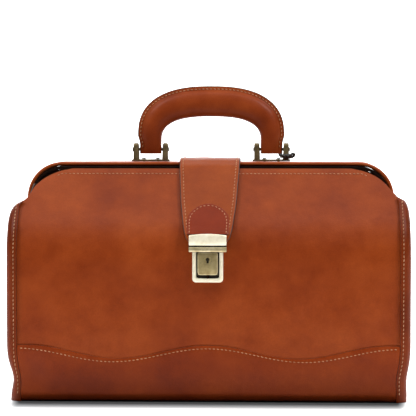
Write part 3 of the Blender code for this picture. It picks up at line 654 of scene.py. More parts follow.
# How far each end's lip runs up the slope, and how much narrower it gets with height
STRIP_TOP = {LEFT: 45.0, RIGHT: 49.5}
FOOT_PINCH = {LEFT: 2.6, RIGHT: 0.0}
LIP_TAPER = {LEFT: [(178, 0), (186, 1.2), (190, 2.8), (194, 6.0), (196, 9.5), (198, 14.0), (200, 18.5)],
             RIGHT: [(178, 0), (188, 0.6), (194, 2.0), (198, 4.2), (200, 7.0), (202, 11.0), (204, 15.5)]}


def wall_path(depth, length):
    """(y, z, lean) of a gusset's fibre at a depth behind the front lip, at a length up from its foot."""
    bend_z = FOLD[1] - depth * math.tan(LEAN / 2)
    start_y = -(LIP_DEPTH - depth)
    reach = 22.0
    if length < bend_z - reach:
        foot = 1.6 * smooth_step(1 - length / 12.0) * smooth_step(1 - depth / 30.0)
        lift = 2.6 * smooth_step(1 - (length - 2.0) / 30.0) * smooth_step(1 - depth / 40.0)
        return start_y + foot + lift * 0.6, length, 0.0
    turned = min(1.0, (length - bend_z + reach) / (2 * reach))
    if turned < 1.0:
        last = (start_y + reach * math.sin(LEAN), bend_z + reach * math.cos(LEAN))
        return *curve((start_y, bend_z - reach), (start_y, bend_z), last, turned), LEAN * turned
    beyond = length - bend_z
    return start_y + beyond * math.sin(LEAN), bend_z + beyond * math.cos(LEAN), LEAN


def wall_top(depth, end):
    """Length of the fibre at a depth: the strip runs up the slope, the wall ends at the inward fold."""
    share = depth / LIP_DEPTH
    return FOLD[1] - depth * math.tan(LEAN / 2) + STRIP_TOP[end] * (1 - share) ** 1.15 - 3.0 * share


def wall_width(z, end):
    """The gusset's outer |x| at a height: it curls in towards the frame above the shoulder."""
    return half_width(z) - straight(LIP_TAPER[end], z)


def quarter_plan(thin):
    """(inward distance from the end face, depth behind the lip) across a gusset's quarter."""
    radius = CORNER - thin
    plan = [(LIP_WIDTH - share * (LIP_WIDTH - CORNER), thin) for share in (0.0, 0.5, 1.0)]
    plan += [(CORNER - radius * s, CORNER - radius * c) for c, s in arc(0, 90, 7, 1)]
    depths = (14, 19, 25, 32, 40, 49, 58, 67, 76, 84, 90, 93.5, LIP_DEPTH - 0.15)
    return plan + [(thin, depth) for depth in depths]


def wall_point(half, end, thin, inward, depth, share):
    """A point of a gusset's quarter at a share of its height, with the leather's creases."""
    top = wall_top(depth, end)
    length = top * share**0.9 + 0.1
    y, z, _ = wall_path(depth, length)
    width = wall_width(z, end)
    inner_edge = min(189.3 - (WIDEST - half_width(z)), panel_width(z, end) - 1.3, width - 0.7)
    lip = inward / LIP_WIDTH
    x = width - lip * (width - inner_edge) if inward > thin else width - inward
    x -= FOOT_PINCH[end] * (1 - lip) * math.exp(-((z - 24.0) / 14.0) ** 2)
    free = smooth_step(depth / 30.0 - 0.3) * smooth_step(z / 30.0)
    x -= free * 1.6 * math.sin(math.pi * min(1.0, z / 150.0))
    x += free * ripple(mm(end * 7.0, y * half, z), 1.3, 14.0, 5.0 + end)
    # A soft crease down the middle, deeper towards the notch, where the gusset folds in.
    crease = math.exp(-((LIP_DEPTH - depth) / 9.0) ** 2)
    x -= crease * (1.0 + 3.2 * smooth_step((z - 40.0) / 80.0))
    x -= 3.4 * smooth_step(1 - (top - length) / 7.0) * smooth_step((depth - 10.0) / 12.0)
    return mm(end * x, half * -y, z)


def gusset_quarter(half, word, end, side):
    """Half of one gusset: the lip over the panel's edge, the corner, and the end wall to its middle."""
    grids = [[[wall_point(half, end, thin, inward, depth, share) for inward, depth in quarter_plan(thin)]
              for share in shares(52)] for thin in (0.0, GUSSET_LEATHER)]
    made = shell(f"{side}_{word}_gusset_wall", *grids, [GUSSET_COGNAC, SUEDE, EDGE], 55)
    place_over_shoulder(made, half, word, f"{side}_gusset")


def fold_line(y, end, layer):
    """(x, y, z) down the leaf behind the frame, out over the brim and down behind the end wall."""
    leaf_x = 173.5 + 0.3458 * (y - 31.0)
    brim = 130.0 + 70.0 * min(1.0, y / 62.0)
    high = min(LEAF_TOP, FOLD[1] + (FOLD[0] - 6.0 - y) / math.tan(LEAN))
    shelf_top = min(brim - 1.0, high - 2.0)
    line = [(leaf_x - 0.9 * math.sin(math.pi * t), y, high + (shelf_top - high) * t) for t in shares(8)[:-1]]
    under_z = brim - 17.0
    hidden = min(195.0, wall_width(under_z, end) - GUSSET_LEATHER) - layer
    for t in shares(8):
        x = leaf_x + (hidden - leaf_x) * smooth_step(t)
        z = shelf_top + (min(under_z, shelf_top - 4.0) - shelf_top) * t
        # The leather keeps clear of the wall as the half swings about its fold.
        room = math.sqrt(max(0.0, 90.0**2 - (FOLD[1] - z) ** 2))
        line.append((x, max(y, FOLD[0] - room) if x < 190.0 else y, z))
    _, last_y, last_z = line[-1]
    return line + [(195.0 - layer, last_y, last_z - step * 8.0) for step in range(1, 11)]


def gusset_fold(half, word, end, side):
    """The gusset's leather above its inward fold, hanging a tuck behind the wall for the open mouth."""
    layer = 1.3 if half == FRONT else 2.9
    outer = [[mm(end * x, half * y, z) for x, y, z in fold_line(84.0 - 80.8 * share, end, layer)]
             for share in shares(24)]
    inner = lined(outer, 1.1 * MM, (12, 3), (end, 0, 0))
    # The fold's inner face is painted near-black: painted shade where it shows in the mouth's corners.
    made = shell(f"{side}_{word}_gusset_fold", outer, inner, [GUSSET_COGNAC, RECESS_SHADE_LEATHER, EDGE], 60)
    place(made, f"{word}_half", "cognac_leather", f"{word}_gusset_leaf_{side}")


def lip_stitches(half, word, end, side):
    """A row of stitches up each lip, over the shoulder."""
    line, outs = [], []
    for share in shares(79):
        y, z, lean = wall_path(0.0, 7.0 + (wall_top(0.0, end) - 12.0) * share)
        x = min(wall_width(z, end) - 1.2, half_width(z) - 7.9)
        line.append(mm(end * x, half * -y, z))
        outs.append(Vector((0, half * math.cos(lean), math.sin(lean))))
    place_over_shoulder(stitches(f"{side}_{word}_lip_stitches", [(line, outs)]), half, word)


# ---------------------------------------------------------------- base bands

BAND_REACH, BAND_LEATHER = 189.0, 2.2


def wave_height(x):
    """The height of the base bands' upper edge: two waves along the bag."""
    return 49.7 + 6.6 * math.cos(2 * math.pi * x / BAND_REACH)


def band_ripple(half, x, z):
    """The unevenness of a base band's leather."""
    return ripple(mm(x, 0, z), 0.5, 22.0, 20.0 + half)


def base_band(half, word):
    """The band round the foot of one face, with a waved upper edge and a rounded arris."""
    outer, inner = [], []
    for share in shares(16):
        top_line, low_line = [], []
        for aside in across(150):
            crest = wave_height(aside * WIDEST)
            from_end = (1 - abs(aside)) * BAND_REACH
            arris = max(0.0, 1 - (crest * (1 - share)) / 2.2) ** 2
            lift = 0.4 + 2.4 * smooth_step(from_end / 45.0) * smooth_step(1 - min(1.0, share * 3.0))
            z = lift + (crest - lift) * share
            x = aside * (half_width(z) - LIP_WIDTH - 0.2)
            y = eased(PANEL_PROFILE, max(z, 0.5)) - 2.0 * smooth_step(1 - z / 4.0)
            y += band_ripple(half, x, z) * smooth_step(from_end / 20.0) * smooth_step(z / 12.0)
            y -= foot_dent(half, x, z)
            top_line.append(mm(x, half * (y + BAND_LEATHER - 0.7 * arris), z))
            low_line.append(mm(x, half * (y + 0.3), z))
        outer.append(top_line)
        inner.append(low_line)
    made = shell(f"{word}_band_leather", outer, inner, [DARK_COGNAC, SUEDE, EDGE], 50)
    place(made, "body", "dark_cognac_leather", f"{word}_base_band")


def band_stitches(half, word):
    """A row of stitches below a base band's waved edge."""
    line = []
    for aside in across(240):
        x = 186.5 * aside
        z = wave_height(x) - 3.2
        swell = band_ripple(half, x, z) * smooth_step((BAND_REACH - abs(x)) / 20.0)
        line.append(mm(x, half * (eased(PANEL_PROFILE, z) + BAND_LEATHER + swell), z))
    made = stitches(f"{word}_band_stitches", [(line, [Vector((0, half, 0))] * len(line))])
    place(made, "body", "dark_cognac_leather")


# ---------------------------------------------------------------- frame covers

FRAME_CORNER = 36.0


def frame_line(low_end):
    """Points of the frame's outer line with outward directions, up the left arm and down the right."""
    wide, top = FRAME_HALF_WIDTH / MM, FRAME_TOP / MM
    centre_x, centre_z = wide - FRAME_CORNER, top - FRAME_CORNER
    left = [((-wide, low_end), (-1.0, 0.0)), ((-wide, (low_end + centre_z) / 2), (-1.0, 0.0))]
    for normal in arc(180, -90, 20):
        left.append(((FRAME_CORNER * normal[0] - centre_x, centre_z + FRAME_CORNER * normal[1]), normal))
    middle = [((centre_x * share, top), (0.0, 1.0)) for share in across(40)[1:-1]]
    return left + middle + [((-x, z), (-nx, nz)) for (x, z), (nx, nz) in reversed(left)]


def frame_cover(half, word):
    """The leather roll over one half's steel bar: rounded front edge, turned under, plain at the mouth."""
    edge, edge_y, width = 2.05, 21.95, 18.4
    section = [(4.1, 0.2), (0.6, 0.2), (0.15, 0.7), (0.0, 2.2)]
    section += [(0.15 * math.sin(math.pi * t), 2.2 + width * t) for t in shares(6)[1:-1]]
    section += [(edge - edge * c, edge_y + edge * s) for c, s in arc(0, 150, 8)]
    section += [(4.1, 21.6)]
    sections = []
    for (x, z), (nx, nz) in frame_line(190.0):
        uneven = ripple(mm(x, 9.0 * half, z), 0.5, 30.0, 2.0)
        loop = []
        for depth, y in section:
            inner = smooth_step(y / 6.0) * smooth_step((4.0 - depth) / 2.5)
            shift = depth + (0.12 - uneven * 0.5) * inner
            loop.append(mm(x - shift * nx, half * y, z - shift * nz))
        sections.append(loop)
    # The cover takes the lighter copy of the cognac leather, painted light for the frame's lit top.
    made = tube(f"{word}_cover_leather", sections, [COVER_COGNAC_PAINTED_LIGHT, EDGE], 50)
    place(made, f"{word}_half", "cognac_leather", f"{word}_frame_cover")


def mouth_welt():
    """A thin dark strip on the back half, between the two bars, that closes the seam of the mouth."""
    grids = [[[mm(x - depth * nx, y, z - depth * nz) for y in (-2.3, -1.4, 1.4, 2.3)]
              for (x, z), (nx, nz) in frame_line(190.6)] for depth in (4.4, 5.6)]
    place(shell("mouth_welt", *grids, [EDGE, EDGE, EDGE], 60), "back_half", "dark_cognac_leather")


# ---------------------------------------------------------------- strap

STRAP_THICK = 3.2
STRAP_OFF = 0.7
STRAP_HALVES = [(150, 18.4), (158, 18.8), (160, 20.2), (163, 22.0), (167, 23.5), (172, 24.7), (196, 28.0),
                (240, 31.2)]


def rounded(corners, reach):
    """A (y, z) line with its corners rounded, each by its own reach, as many short steps."""
    line = [corners[0]]
    for before, corner, after, size in zip(corners, corners[1:], corners[2:], reach):
        to = [(corner[0] - before[0], corner[1] - before[1]), (after[0] - corner[0], after[1] - corner[1])]
        long = [math.hypot(*step) for step in to]
        size = min(size, 0.48 * long[0], 0.48 * long[1])
        first = tuple(c - size * s / long[0] for c, s in zip(corner, to[0]))
        last = tuple(c + size * s / long[1] for c, s in zip(corner, to[1]))
        line += [curve(first, corner, last, t) for t in shares(8)]
    line.append(corners[-1])
    return line


def evenly(line, pitch):
    """A (y, z) line resampled at an even pitch, its ends kept."""
    lengths = lengths_along(line)
    count = max(2, round(lengths[-1] / pitch))
    result, index = [], 0
    for step in range(count + 1):
        spot = lengths[-1] * step / count
        while index < len(line) - 2 and lengths[index + 1] < spot:
            index += 1
        share = (spot - lengths[index]) / max(1e-9, lengths[index + 1] - lengths[index])
        result.append(tuple(a + (b - a) * share for a, b in zip(line[index], line[index + 1])))
    return result


def strap_lines():
    """The strap's inner face as two (y, z) lines, which meet half way down the upper slope."""
    back = [(-y, z) for y, z in (slope(46, -STRAP_OFF), slope(SLOPE_LENGTH, -STRAP_OFF))]
    over = [(27.0, FRAME_TOP / MM + STRAP_OFF), (-20.0, FRAME_TOP / MM + STRAP_OFF)]
    ahead = [(-26.5, FRAME_TOP / MM - 0.4), slope(SLOPE_LENGTH, -STRAP_OFF)]
    seam = slope(66.5, -STRAP_OFF)
    first = rounded(back + over + ahead + [seam], (7.0, 7.0, 7.0, 3.0, 3.0))
    front = [seam, slope(20, -STRAP_OFF), (-89.3, 169.8), (-94.9, 165.8), (-95.5, 158.8)]
    second = rounded(front, (12.0, 5.0, 4.0))
    return evenly(first, 2.0), evenly(second, 2.0)


def out_of(line):
    """Outward unit directions along a (y, z) line that runs from the back over the top to the front."""
    result = []
    for index in range(len(line)):
        before, after = line[max(0, index - 1)], line[min(len(line) - 1, index + 1)]
        length = math.dist(before, after)
        result.append(((after[1] - before[1]) / length, -(after[0] - before[0]) / length))
    return result


def strap_lift(x, y, z):
    """The height of the strap's outer face over its inner face, slightly uneven."""
    return STRAP_THICK + ripple(mm(x, y, z), 0.3, 60.0, 4.0)


def strap_sheet(name, line):
    """A length of strap: flat leather with rounded, painted edges."""
    columns, edge = across(16), 0.7
    loops = []
    for (y, z), (ny, nz) in zip(line, out_of(line)):
        half = straight(STRAP_HALVES, z) + ripple(mm(0, y, z), 0.35, 40.0, 12.0)
        flat = half - edge
        loop = [(share * flat, strap_lift(share * flat, y, z) + 0.25 * (1 - share**2)) for share in columns]
        loop += [(flat + edge * c, STRAP_THICK / 2 * (1 + s)) for c, s in arc(90, -180, 6)[1:-1]]
        loop += [(share * flat, 0.0) for share in reversed(columns)]
        loop += [(-flat - edge * c, STRAP_THICK / 2 * (1 + s)) for c, s in arc(-90, 180, 6)[1:-1]]
        loops.append([mm(x, y + d * ny, z + d * nz) for x, d in loop])

    def look(_, spot):
        return 0 if spot < 16 else 1 if 22 <= spot < 38 else 2

    return tube(name, loops, [STRAP_COGNAC, SUEDE, EDGE], 50, look)


def strap_seams(name, line, start, stop):
    """Stitches along both edges of a strap, between two shares of its length."""
    result = []
    first, last = int(len(line) * start), int(len(line) * stop)
    for end in (LEFT, RIGHT):
        points, directions = [], []
        for (y, z), (ny, nz) in list(zip(line, out_of(line)))[first:last]:
            x = end * (straight(STRAP_HALVES, z) - 3.6)
            lift = strap_lift(x, y, z) + 0.12
            points.append(mm(x, y + lift * ny, z + lift * nz))
            directions.append(Vector((0, ny, nz)))
        result.append((points, directions))
    return stitches(name, result)


def straps():
    """The strap in two lengths, which bend at the mouth and again on the front slope."""
    first, second = strap_lines()
    upper = strap_sheet("strap_over_leather", first)
    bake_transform(upper)
    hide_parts("strap_top", "strap_upper")
    lower = strap_sheet("strap_front_leather", second)
    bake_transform(lower)
    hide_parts("strap_front")
    sewn = strap_seams("strap_over_stitches", first, 0.02, 1.0)
    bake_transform(sewn)
    sewn = strap_seams("strap_front_stitches", second, 0.0, 0.93)
    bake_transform(sewn)
    strap_patch(second)


PATCH_HALVES = [(0, 0.6), (0.8, 4.6), (2.2, 8.0), (4.5, 11.8), (7.5, 15.2), (11, 18.0), (15, 19.8),
                (19, 20.6), (24, 20.9), (40, 20.4)]
PATCH_LEATHER = 1.4


def strap_patch(line):
    """The arched patch sewn on the strap's end, with stitches round its arch."""
    outs, lengths = out_of(line), lengths_along(line)
    top_at = next(spot for spot, (y, z) in zip(lengths, line) if z < slope(37.5)[1])
    low_at = next(spot for spot, (y, z) in zip(lengths, line) if z < 165.4)
    reach = low_at - top_at

    def at(spot, x, lift):
        index = max(i for i, value in enumerate(lengths[:-1]) if value <= spot)
        share = (spot - lengths[index]) / (lengths[index + 1] - lengths[index])
        y, z = (a + (b - a) * share for a, b in zip(line[index], line[index + 1]))
        ny, nz = (a + (b - a) * share for a, b in zip(outs[index], outs[index + 1]))
        raise_by = STRAP_THICK + 0.15 + lift
        return mm(x, y + raise_by * ny, z + raise_by * nz), Vector((0, ny, nz))

    outer, inner = [], []
    for row in shares(30):
        distance = reach * row**1.8
        half = straight(PATCH_HALVES, distance)
        tops, lows = [], []
        for share in across(24):
            rim = min((1 - abs(share)) * half, distance * 1.1 + 0.01)
            arris = max(0.0, 1 - rim / 1.3) ** 2
            tops.append(at(top_at + distance, share * half, PATCH_LEATHER - 0.8 * arris)[0])
            lows.append(at(top_at + distance, share * half, 0.12)[0])
        outer.append(tops)
        inner.append(lows)
    made = shell("strap_patch_leather", outer, inner, [PATCH_COGNAC, SUEDE, EDGE], 50)
    place(made, "strap", "dark_cognac_leather", "strap_patch")
    seam = []
    for step in range(-60, 61):
        distance = 2.9 + (reach - 3.2) * (abs(step) / 60) ** 1.5
        half = max(0.0, straight(PATCH_HALVES, distance - 1.1) - 2.4) * min(1.0, abs(step) / 4)
        seam.append(at(top_at + distance, half if step > 0 else -half, PATCH_LEATHER + 0.02))
    place(stitches("strap_patch_stitches", [tuple(zip(*seam))]), "strap", "dark_cognac_leather")


# ---------------------------------------------------------------- handle

HANDLE_FOOT = 243.3
SPINE_HEIGHT = 4.5
HANDLE_LEGS = 0.16


def handle_outline(foot, half_span, rise, centre_z, power, share):
    """(x, z) of one edge of the handle: a leg at each side and a flattened arch between them."""
    if share < HANDLE_LEGS or share > 1 - HANDLE_LEGS:
        drop = (HANDLE_LEGS - min(share, 1 - share)) / HANDLE_LEGS
        x = half_span + (foot - half_span) * min(1.0, 2.4 * drop)
        return x * (1 if share > 0.5 else -1), centre_z - drop * (centre_z - HANDLE_FOOT)
    angle = math.pi * (1 - (share - HANDLE_LEGS) / (1 - 2 * HANDLE_LEGS))
    x = abs(math.cos(angle)) ** (2 / power) * half_span * (1 if math.cos(angle) > 0 else -1)
    return x, centre_z + rise * math.sin(angle) ** (2 / power)


def handle_section(share):
    """(inner edge, direction to the outer edge, distance) at a share of the handle's length."""
    outer = Vector(handle_outline(74.0, 76.2, 51.6, 262.0, 2.5, share))
    inner = Vector(handle_outline(51.5, 51.4, 24.8, 257.0, 2.6, share))
    thickness = outer - inner
    return inner, thickness.normalized(), thickness.length


def handle():
    """The padded leather roll, its two plies meeting in a flat stitched spine along the outside."""
    parts = ((0.0, HANDLE_LEGS, 6), (HANDLE_LEGS, 0.68, 64), (0.84, HANDLE_LEGS, 6))
    places = {round(start + reach * step / steps, 4)
              for start, reach, steps in parts for step in range(steps + 1)}
    pivot_y = PIVOT_Y / MM
    loops, seams = [], {FRONT: ([], []), BACK: ([], [])}
    for share in sorted(places):
        inner, along, length = handle_section(share)
        depth = 7.2 + 1.9 * math.sin(math.pi * share) ** 0.5
        body = length - SPINE_HEIGHT
        loop = [(body / 2 * (1 + c), depth * s**0.82) for c, s in arc(180, -158, 16)]
        loop += [(body - 0.2, 3.1), (body + 1.0, 2.75), (length - 0.9, 2.6), (length - 0.25, 2.3),
                 (length, 1.4)]
        section = []
        for a, y in loop + [(length + 0.05, 0.0)] + [(a, -y) for a, y in reversed(loop[1:])]:
            flat = Vector((inner.x + a * along.x, y, inner.y + a * along.y))
            bumps = ripple(flat * MM, 0.4, 60.0, 9.0) * smooth_step(abs(y) / 4.0)
            section.append(mm(flat.x, pivot_y + y * (1 + bumps * 0.12), flat.z))
        loops.append(section)
        if 0.03 < share < 0.97:
            seam = length - 3.1
            for half, (points, outs) in seams.items():
                points.append(mm(inner.x + seam * along.x, pivot_y + half * 2.95, inner.y + seam * along.y))
                outs.append(Vector((0, half, 0)))
    spine_from, spine_to = 20, len(loops[0]) - 20
    made = tube("handle_leather", loops, [HANDLE_COGNAC, EDGE], 60,
                lambda _, spot: int(spine_from <= spot <= spine_to))
    place(made, "handle", "cognac_leather", "handle_grip", "handle_spine")
    place(stitches("handle_stitches", list(seams.values())), "handle", "dark_cognac_leather")


# ---------------------------------------------------------------- metalwork

BARREL_Z = 140.7


def rounded_outline(half, low, high, radius):
    """Points down the left side, round both lower corners and up the right side, as (x, z)."""
    steps, foot = 8, low + radius
    line = [(-half, high + (foot - high) * t) for t in shares(steps)]
    line += [(radius - half + radius * c, foot + radius * s) for c, s in arc(180, 90, 6, 1)]
    line += [((half - radius) * (2 * t - 1), low) for t in shares(steps, 1)]
    line += [(half - radius + radius * c, foot + radius * s) for c, s in arc(270, 90, 6, 1)]
    return line + [(half, foot + (high - foot) * t) for t in shares(steps, 1)]


def lock_plate():
    """The fixed plate: a raised rim round three sides of a dark pocket, on a flat back."""
    back_y, bed_y, top_z = -93.3, -94.6, 148.4
    rims = list(zip(rounded_outline(15.2, 118.7, top_z, 3.6), rounded_outline(11.3, 122.9, top_z, 2.2)))
    profile = [(0.0, back_y), (0.0, -96.6), (0.03, -97.4), (0.12, -98.0), (0.26, -98.2), (0.55, -98.15),
               (0.68, -97.8), (0.80, -97.75), (0.93, -97.5), (1.0, -96.8), (1.0, -94.7)]

    def rim(face):
        return [[mm(ax + (bx - ax) * f, y, az + (bz - az) * f) for f, y in face]
                for (ax, az), (bx, bz) in rims]

    flat = [(f, back_y) for f, y in profile]
    # The rim's face takes the pale brass with its painted reflection.
    made = shell("lock_plate_rim", rim(profile), rim(flat), [PALE_REFLECTION_BRASS, BAR_BRASS, BAR_BRASS])
    place(made, "body", "pale_brass", "lock_plate")
    floor, under = ([[mm(x, y, z) for x in (-11.6, 11.6)] for z in (122.5, top_z)] for y in (bed_y, back_y))
    place(shell("lock_plate_bed", floor, under, [SHADOW_METAL] * 3), "body", "pale_brass")


def lock_button():
    """The sliding button: a bevelled brass face with a round bore for the key barrel."""
    turn = circle(48, 0.5)

    def bore(radius, y):
        return [mm(radius * c, y, BARREL_Z + radius * s) for c, s in turn]

    def outline(half_x, low, high, radius, y):
        points = []
        for c, s in turn:
            reach_z = high - BARREL_Z if s > 0 else BARREL_Z - low
            reach = min(half_x / max(abs(c), 1e-6), reach_z / max(abs(s), 1e-6))
            x, z = reach * c, reach * s
            # Round the two lower corners
            flat_x, flat_z = half_x - radius, BARREL_Z - low - radius
            over_x, over_z = abs(x) - flat_x, -z - flat_z
            length = math.hypot(over_x, over_z)
            if over_x > 0 and over_z > 0 and length > radius:
                x = math.copysign(flat_x + over_x * radius / length, x)
                z = -(flat_z + over_z * radius / length)
            points.append(mm(x, y, BARREL_Z + z))
        return points

    loops = [bore(4.15, -96.4), outline(10.0, 126.2, 148.2, 1.8, -96.4),
             outline(10.0, 126.2, 148.2, 1.8, -98.5), outline(9.7, 126.5, 148.0, 1.7, -99.0),
             outline(9.1, 127.1, 147.5, 1.5, -99.2),
             bore(4.35, -99.2), bore(4.2, -99.05), bore(4.15, -97.5)]
    made = tube("lock_button_face", loops, [BUTTON_BRASS, BAR_BRASS], 30,
                lambda row, _: int(row in (2, 3)), ring=True)
    place(made, "release_button", "pale_brass", "lock_button")


def key_barrel():
    """The turning barrel, flush with the button, with a keyhole through its face."""
    turn = circle(60)
    rim = [(4.0 * c, BARREL_Z + 4.0 * s) for c, s in turn]
    hole = []
    for c, s in turn:
        reach = 1.85
        if s < 0:
            flare = 0.85 + 0.25 * abs(s)
            reach = max(reach, min(flare / max(abs(c), 1e-6), 3.7 / max(abs(s), 1e-6)))
        hole.append((reach * c, BARREL_Z + 0.8 + reach * s))

    def loop(line, y, scale=1.0):
        return [mm(x * scale, y, BARREL_Z + (z - BARREL_Z) * scale) for x, z in line]

    loops = [loop(rim, -96.4), loop(rim, -99.1), loop(rim, -99.25, 0.97), loop(hole, -99.25, 1.05),
             loop(hole, -99.15), loop(hole, -97.2)]
    made = tube("key_barrel_face", loops, [BUTTON_BRASS, SHADOW_METAL], 30,
                lambda row, _: int(row == 4))
    place(made, "key_barrel", "pale_brass", "lock_barrel")


def hasp():
    """The strap's metal end: a bowed cap with an arched top, a dark groove and a bar below it."""
    half, middle_y, middle_z = 18.4, -97.6, 157.5
    profile = [(-99.1, 166.6), (-99.5, 166.8), (-100.1, 166.6), (-100.5, 166.0), (-100.65, 164.8),
               (-100.7, 160.0), (-100.6, 156.2), (-100.3, 155.6), (-99.8, 155.4), (-99.3, 155.3),
               (-99.3, 154.0), (-99.8, 153.9), (-100.6, 153.7), (-101.0, 153.1), (-101.0, 149.7),
               (-100.7, 149.1), (-100.1, 148.9), (-95.6, 148.9), (-95.6, 154.5), (-94.0, 154.5),
               (-94.0, 166.0), (-94.4, 166.0), (-94.9, 158.4), (-99.1, 158.4)]
    groove, bar = (8, 9, 10), range(11, 20)
    loops = []
    for share in across(36):
        share = math.copysign(1 - (1 - abs(share)) ** 1.15, share)
        # The ends are drawn in a little, for a rounded edge.
        tip = smooth_step((1 - abs(share)) / 0.035)
        loop = []
        for y, z in profile:
            arch = 1.5 * share**2 if z > 161.0 and y < -98.0 else 0.0
            bow = 0.55 * share**2 if y < -99.0 else 0.0
            loop.append(mm(share * half, middle_y + (y + bow - middle_y) * (0.93 + 0.07 * tip),
                           middle_z + (z - arch - middle_z) * (0.97 + 0.03 * tip)))
        loops.append(loop)
    # The cap's face takes the pale brass with its painted reflection.
    made = tube("hasp_metal", loops, [PALE_REFLECTION_BRASS, BAR_BRASS, SHADOW_METAL], 35,
                lambda _, spot: 2 if spot in groove else int(spot in bar), cap=1)
    place(made, "strap", "pale_brass", "hasp_cap")


def bracket_post(end, low, high, outer_edge):
    """One ear of a bracket, drawn in upwards and rounded over the pin."""
    foot, crown = FRAME_TOP / MM + 1.5, 254.5
    sections = []
    for t in shares(16):
        top = max(0.0, (t - 0.86) / 0.14) ** 2
        near = (7.4 - 2.9 * smooth_step(t)) * (1.0 - 0.45 * top)
        inset = 0.55 * smooth_step(t * 1.2)
        a = low + (0.1 if outer_edge == low else inset)
        b = high - (0.1 if outer_edge == high else inset)
        middle, half = (a + b) / 2, (b - a) / 2 * (1.0 - 0.30 * top)
        loop = []
        for c, s in circle(16):
            reach = squarish(c, s, 5)
            loop.append(mm(end * (middle + half * c * reach), PIVOT_Y / MM + near * s * reach,
                           foot + (crown - foot) * t))
        sections.append(loop)
    return sections


def handle_bracket(end, side):
    """A cast bracket: a thin plate with two stout ears, and the turned pin through them."""
    pivot_y, pivot_z = PIVOT_Y / MM, PIVOT_Z / MM
    bottom, top = FRAME_TOP / MM + 0.3, FRAME_TOP / MM + 2.1
    inner = tube(f"{side}_bracket_inner_post", bracket_post(end, 44.5, 51.0, 44.5), [ANTIQUE], 60)
    outer = tube(f"{side}_bracket_outer_post", bracket_post(end, 74.5, 81.0, 81.0), [ANTIQUE], 60)
    plate = []
    for z, grow in ((bottom, -0.3), (bottom + 0.35, 0.0), (top - 0.4, 0.0), (top, -0.35)):
        loop = []
        for c, s in circle(24):
            reach = squarish(c, s, 7)
            x, y = (19.75 + grow) * c * reach, (7.5 + grow) * s * reach
            loop.append(mm(end * (62.75 + x), pivot_y + y, z))
        plate.append(loop)
    base = tube(f"{side}_bracket_plate", plate, [ANTIQUE], 50)
    for piece in (inner, outer):
        place(piece, "back_half", "antique_brass")
    place(base, "back_half", "antique_brass", f"{side}_handle_bracket")
    stations = [(43.6, 1.4), (43.7, 2.0), (44.4, 2.2), (44.6, 1.7), (80.9, 1.7), (81.1, 2.2), (81.8, 2.0),
                (82.0, 1.4)]
    loops = [[mm(end * x, pivot_y + radius * c, pivot_z + radius * s) for c, s in circle(20)]
             for x, radius in stations]
    pin = tube(f"{side}_pin_turned", loops, [PIN_BRASS], 35)
    place(pin, "back_half", "antique_brass", f"{side}_handle_pin")


def metalwork():
    """The brackets, the lock and the hasp."""
    for end, side in SIDES:
        handle_bracket(end, side)
    hasp()
    lock_plate()
    lock_button()
    key_barrel()


# ---------------------------------------------------------------- cord, lining and bottom

POCKET_LOW, POCKET_HALF = 45.0, 95.0


def curve_points(corners, steps=10):
    """A smooth line through points (Catmull-Rom)."""
    line = []
    padded = [corners[0], *corners, corners[-1]]
    for a, b, c, d in zip(padded, padded[1:], padded[2:], padded[3:]):
        for step in range(steps):
            t = step / steps
            line.append(0.5 * ((2 * b) + (c - a) * t + (2 * a - 5 * b + 4 * c - d) * t**2
                               + (3 * b - a - 3 * c + d) * t**3))
    line.append(corners[-1])
    return line


def pipe(name, line, radius):
    """A round cord along a line, thinner at its ends."""
    loops = []
    for index, point in enumerate(line):
        along = (line[min(index + 1, len(line) - 1)] - line[max(index - 1, 0)]).normalized()
        side = along.cross(Vector((0, 0, 1)))
        side = side.normalized() if side.length > 0.05 else along.cross(Vector((0, 1, 0))).normalized()
        lift = side.cross(along)
        width = radius * min(1.0, 0.55 + 0.45 * min(index, len(line) - 1 - index) / 2)
        loops.append([point + (side * c + lift * s) * width for c, s in circle(10)])
    return tube(name, loops, [CORD], 80)


def cord_tie():
    """A short waxed cord, wound twice round the right bracket's outer ear and knotted."""
    centre_x, centre_y, around_x, around_y = 77.75, PIVOT_Y / MM, 4.95, 9.1
    turns = []
    for step in range(19):
        angle = 2 * math.pi * step / 9 + 0.6
        c, s = math.cos(angle), math.sin(angle)
        reach = squarish(c, s, 3.2)
        turns.append(mm(centre_x + around_x * c * reach, centre_y + around_y * s * reach,
                        239.7 + 2.6 * step / 18))
    wound = pipe("cord_wound", curve_points(turns, 6), 1.4 * MM)
    place(wound, "back_half", "black_cord", "cord_tie")
    # (x, distance behind the knot's face, z) of the loop, the free end and the knot
    loop = [(78.5, 0, 240.0), (81.6, -0.9, 241.6), (84.6, -0.6, 243.6), (86.3, 0, 242.7),
            (85.0, 0.4, 240.6), (81.6, 0.2, 239.6), (78.5, 0, 239.8)]
    tail = [(77.8, 0, 240.2), (75.2, -0.9, 241.2), (72.4, -0.6, 242.4), (69.9, 0, 242.2)]
    knot = [(77.4, 0.4, 238.8), (79.3, -0.9, 239.6), (79.0, -1.3, 241.2), (77.2, -1.0, 241.4),
            (76.8, -0.7, 239.6), (78.8, -0.2, 238.6)]
    front = centre_y - 10.4
    for word, points, radius in (("loop", loop, 1.35), ("tail", tail, 1.35), ("knot", knot, 1.75)):
        line = curve_points([mm(x, front + y, z) for x, y, z in points])
        place(pipe(f"cord_{word}", line, radius * MM), "back_half", "black_cord")


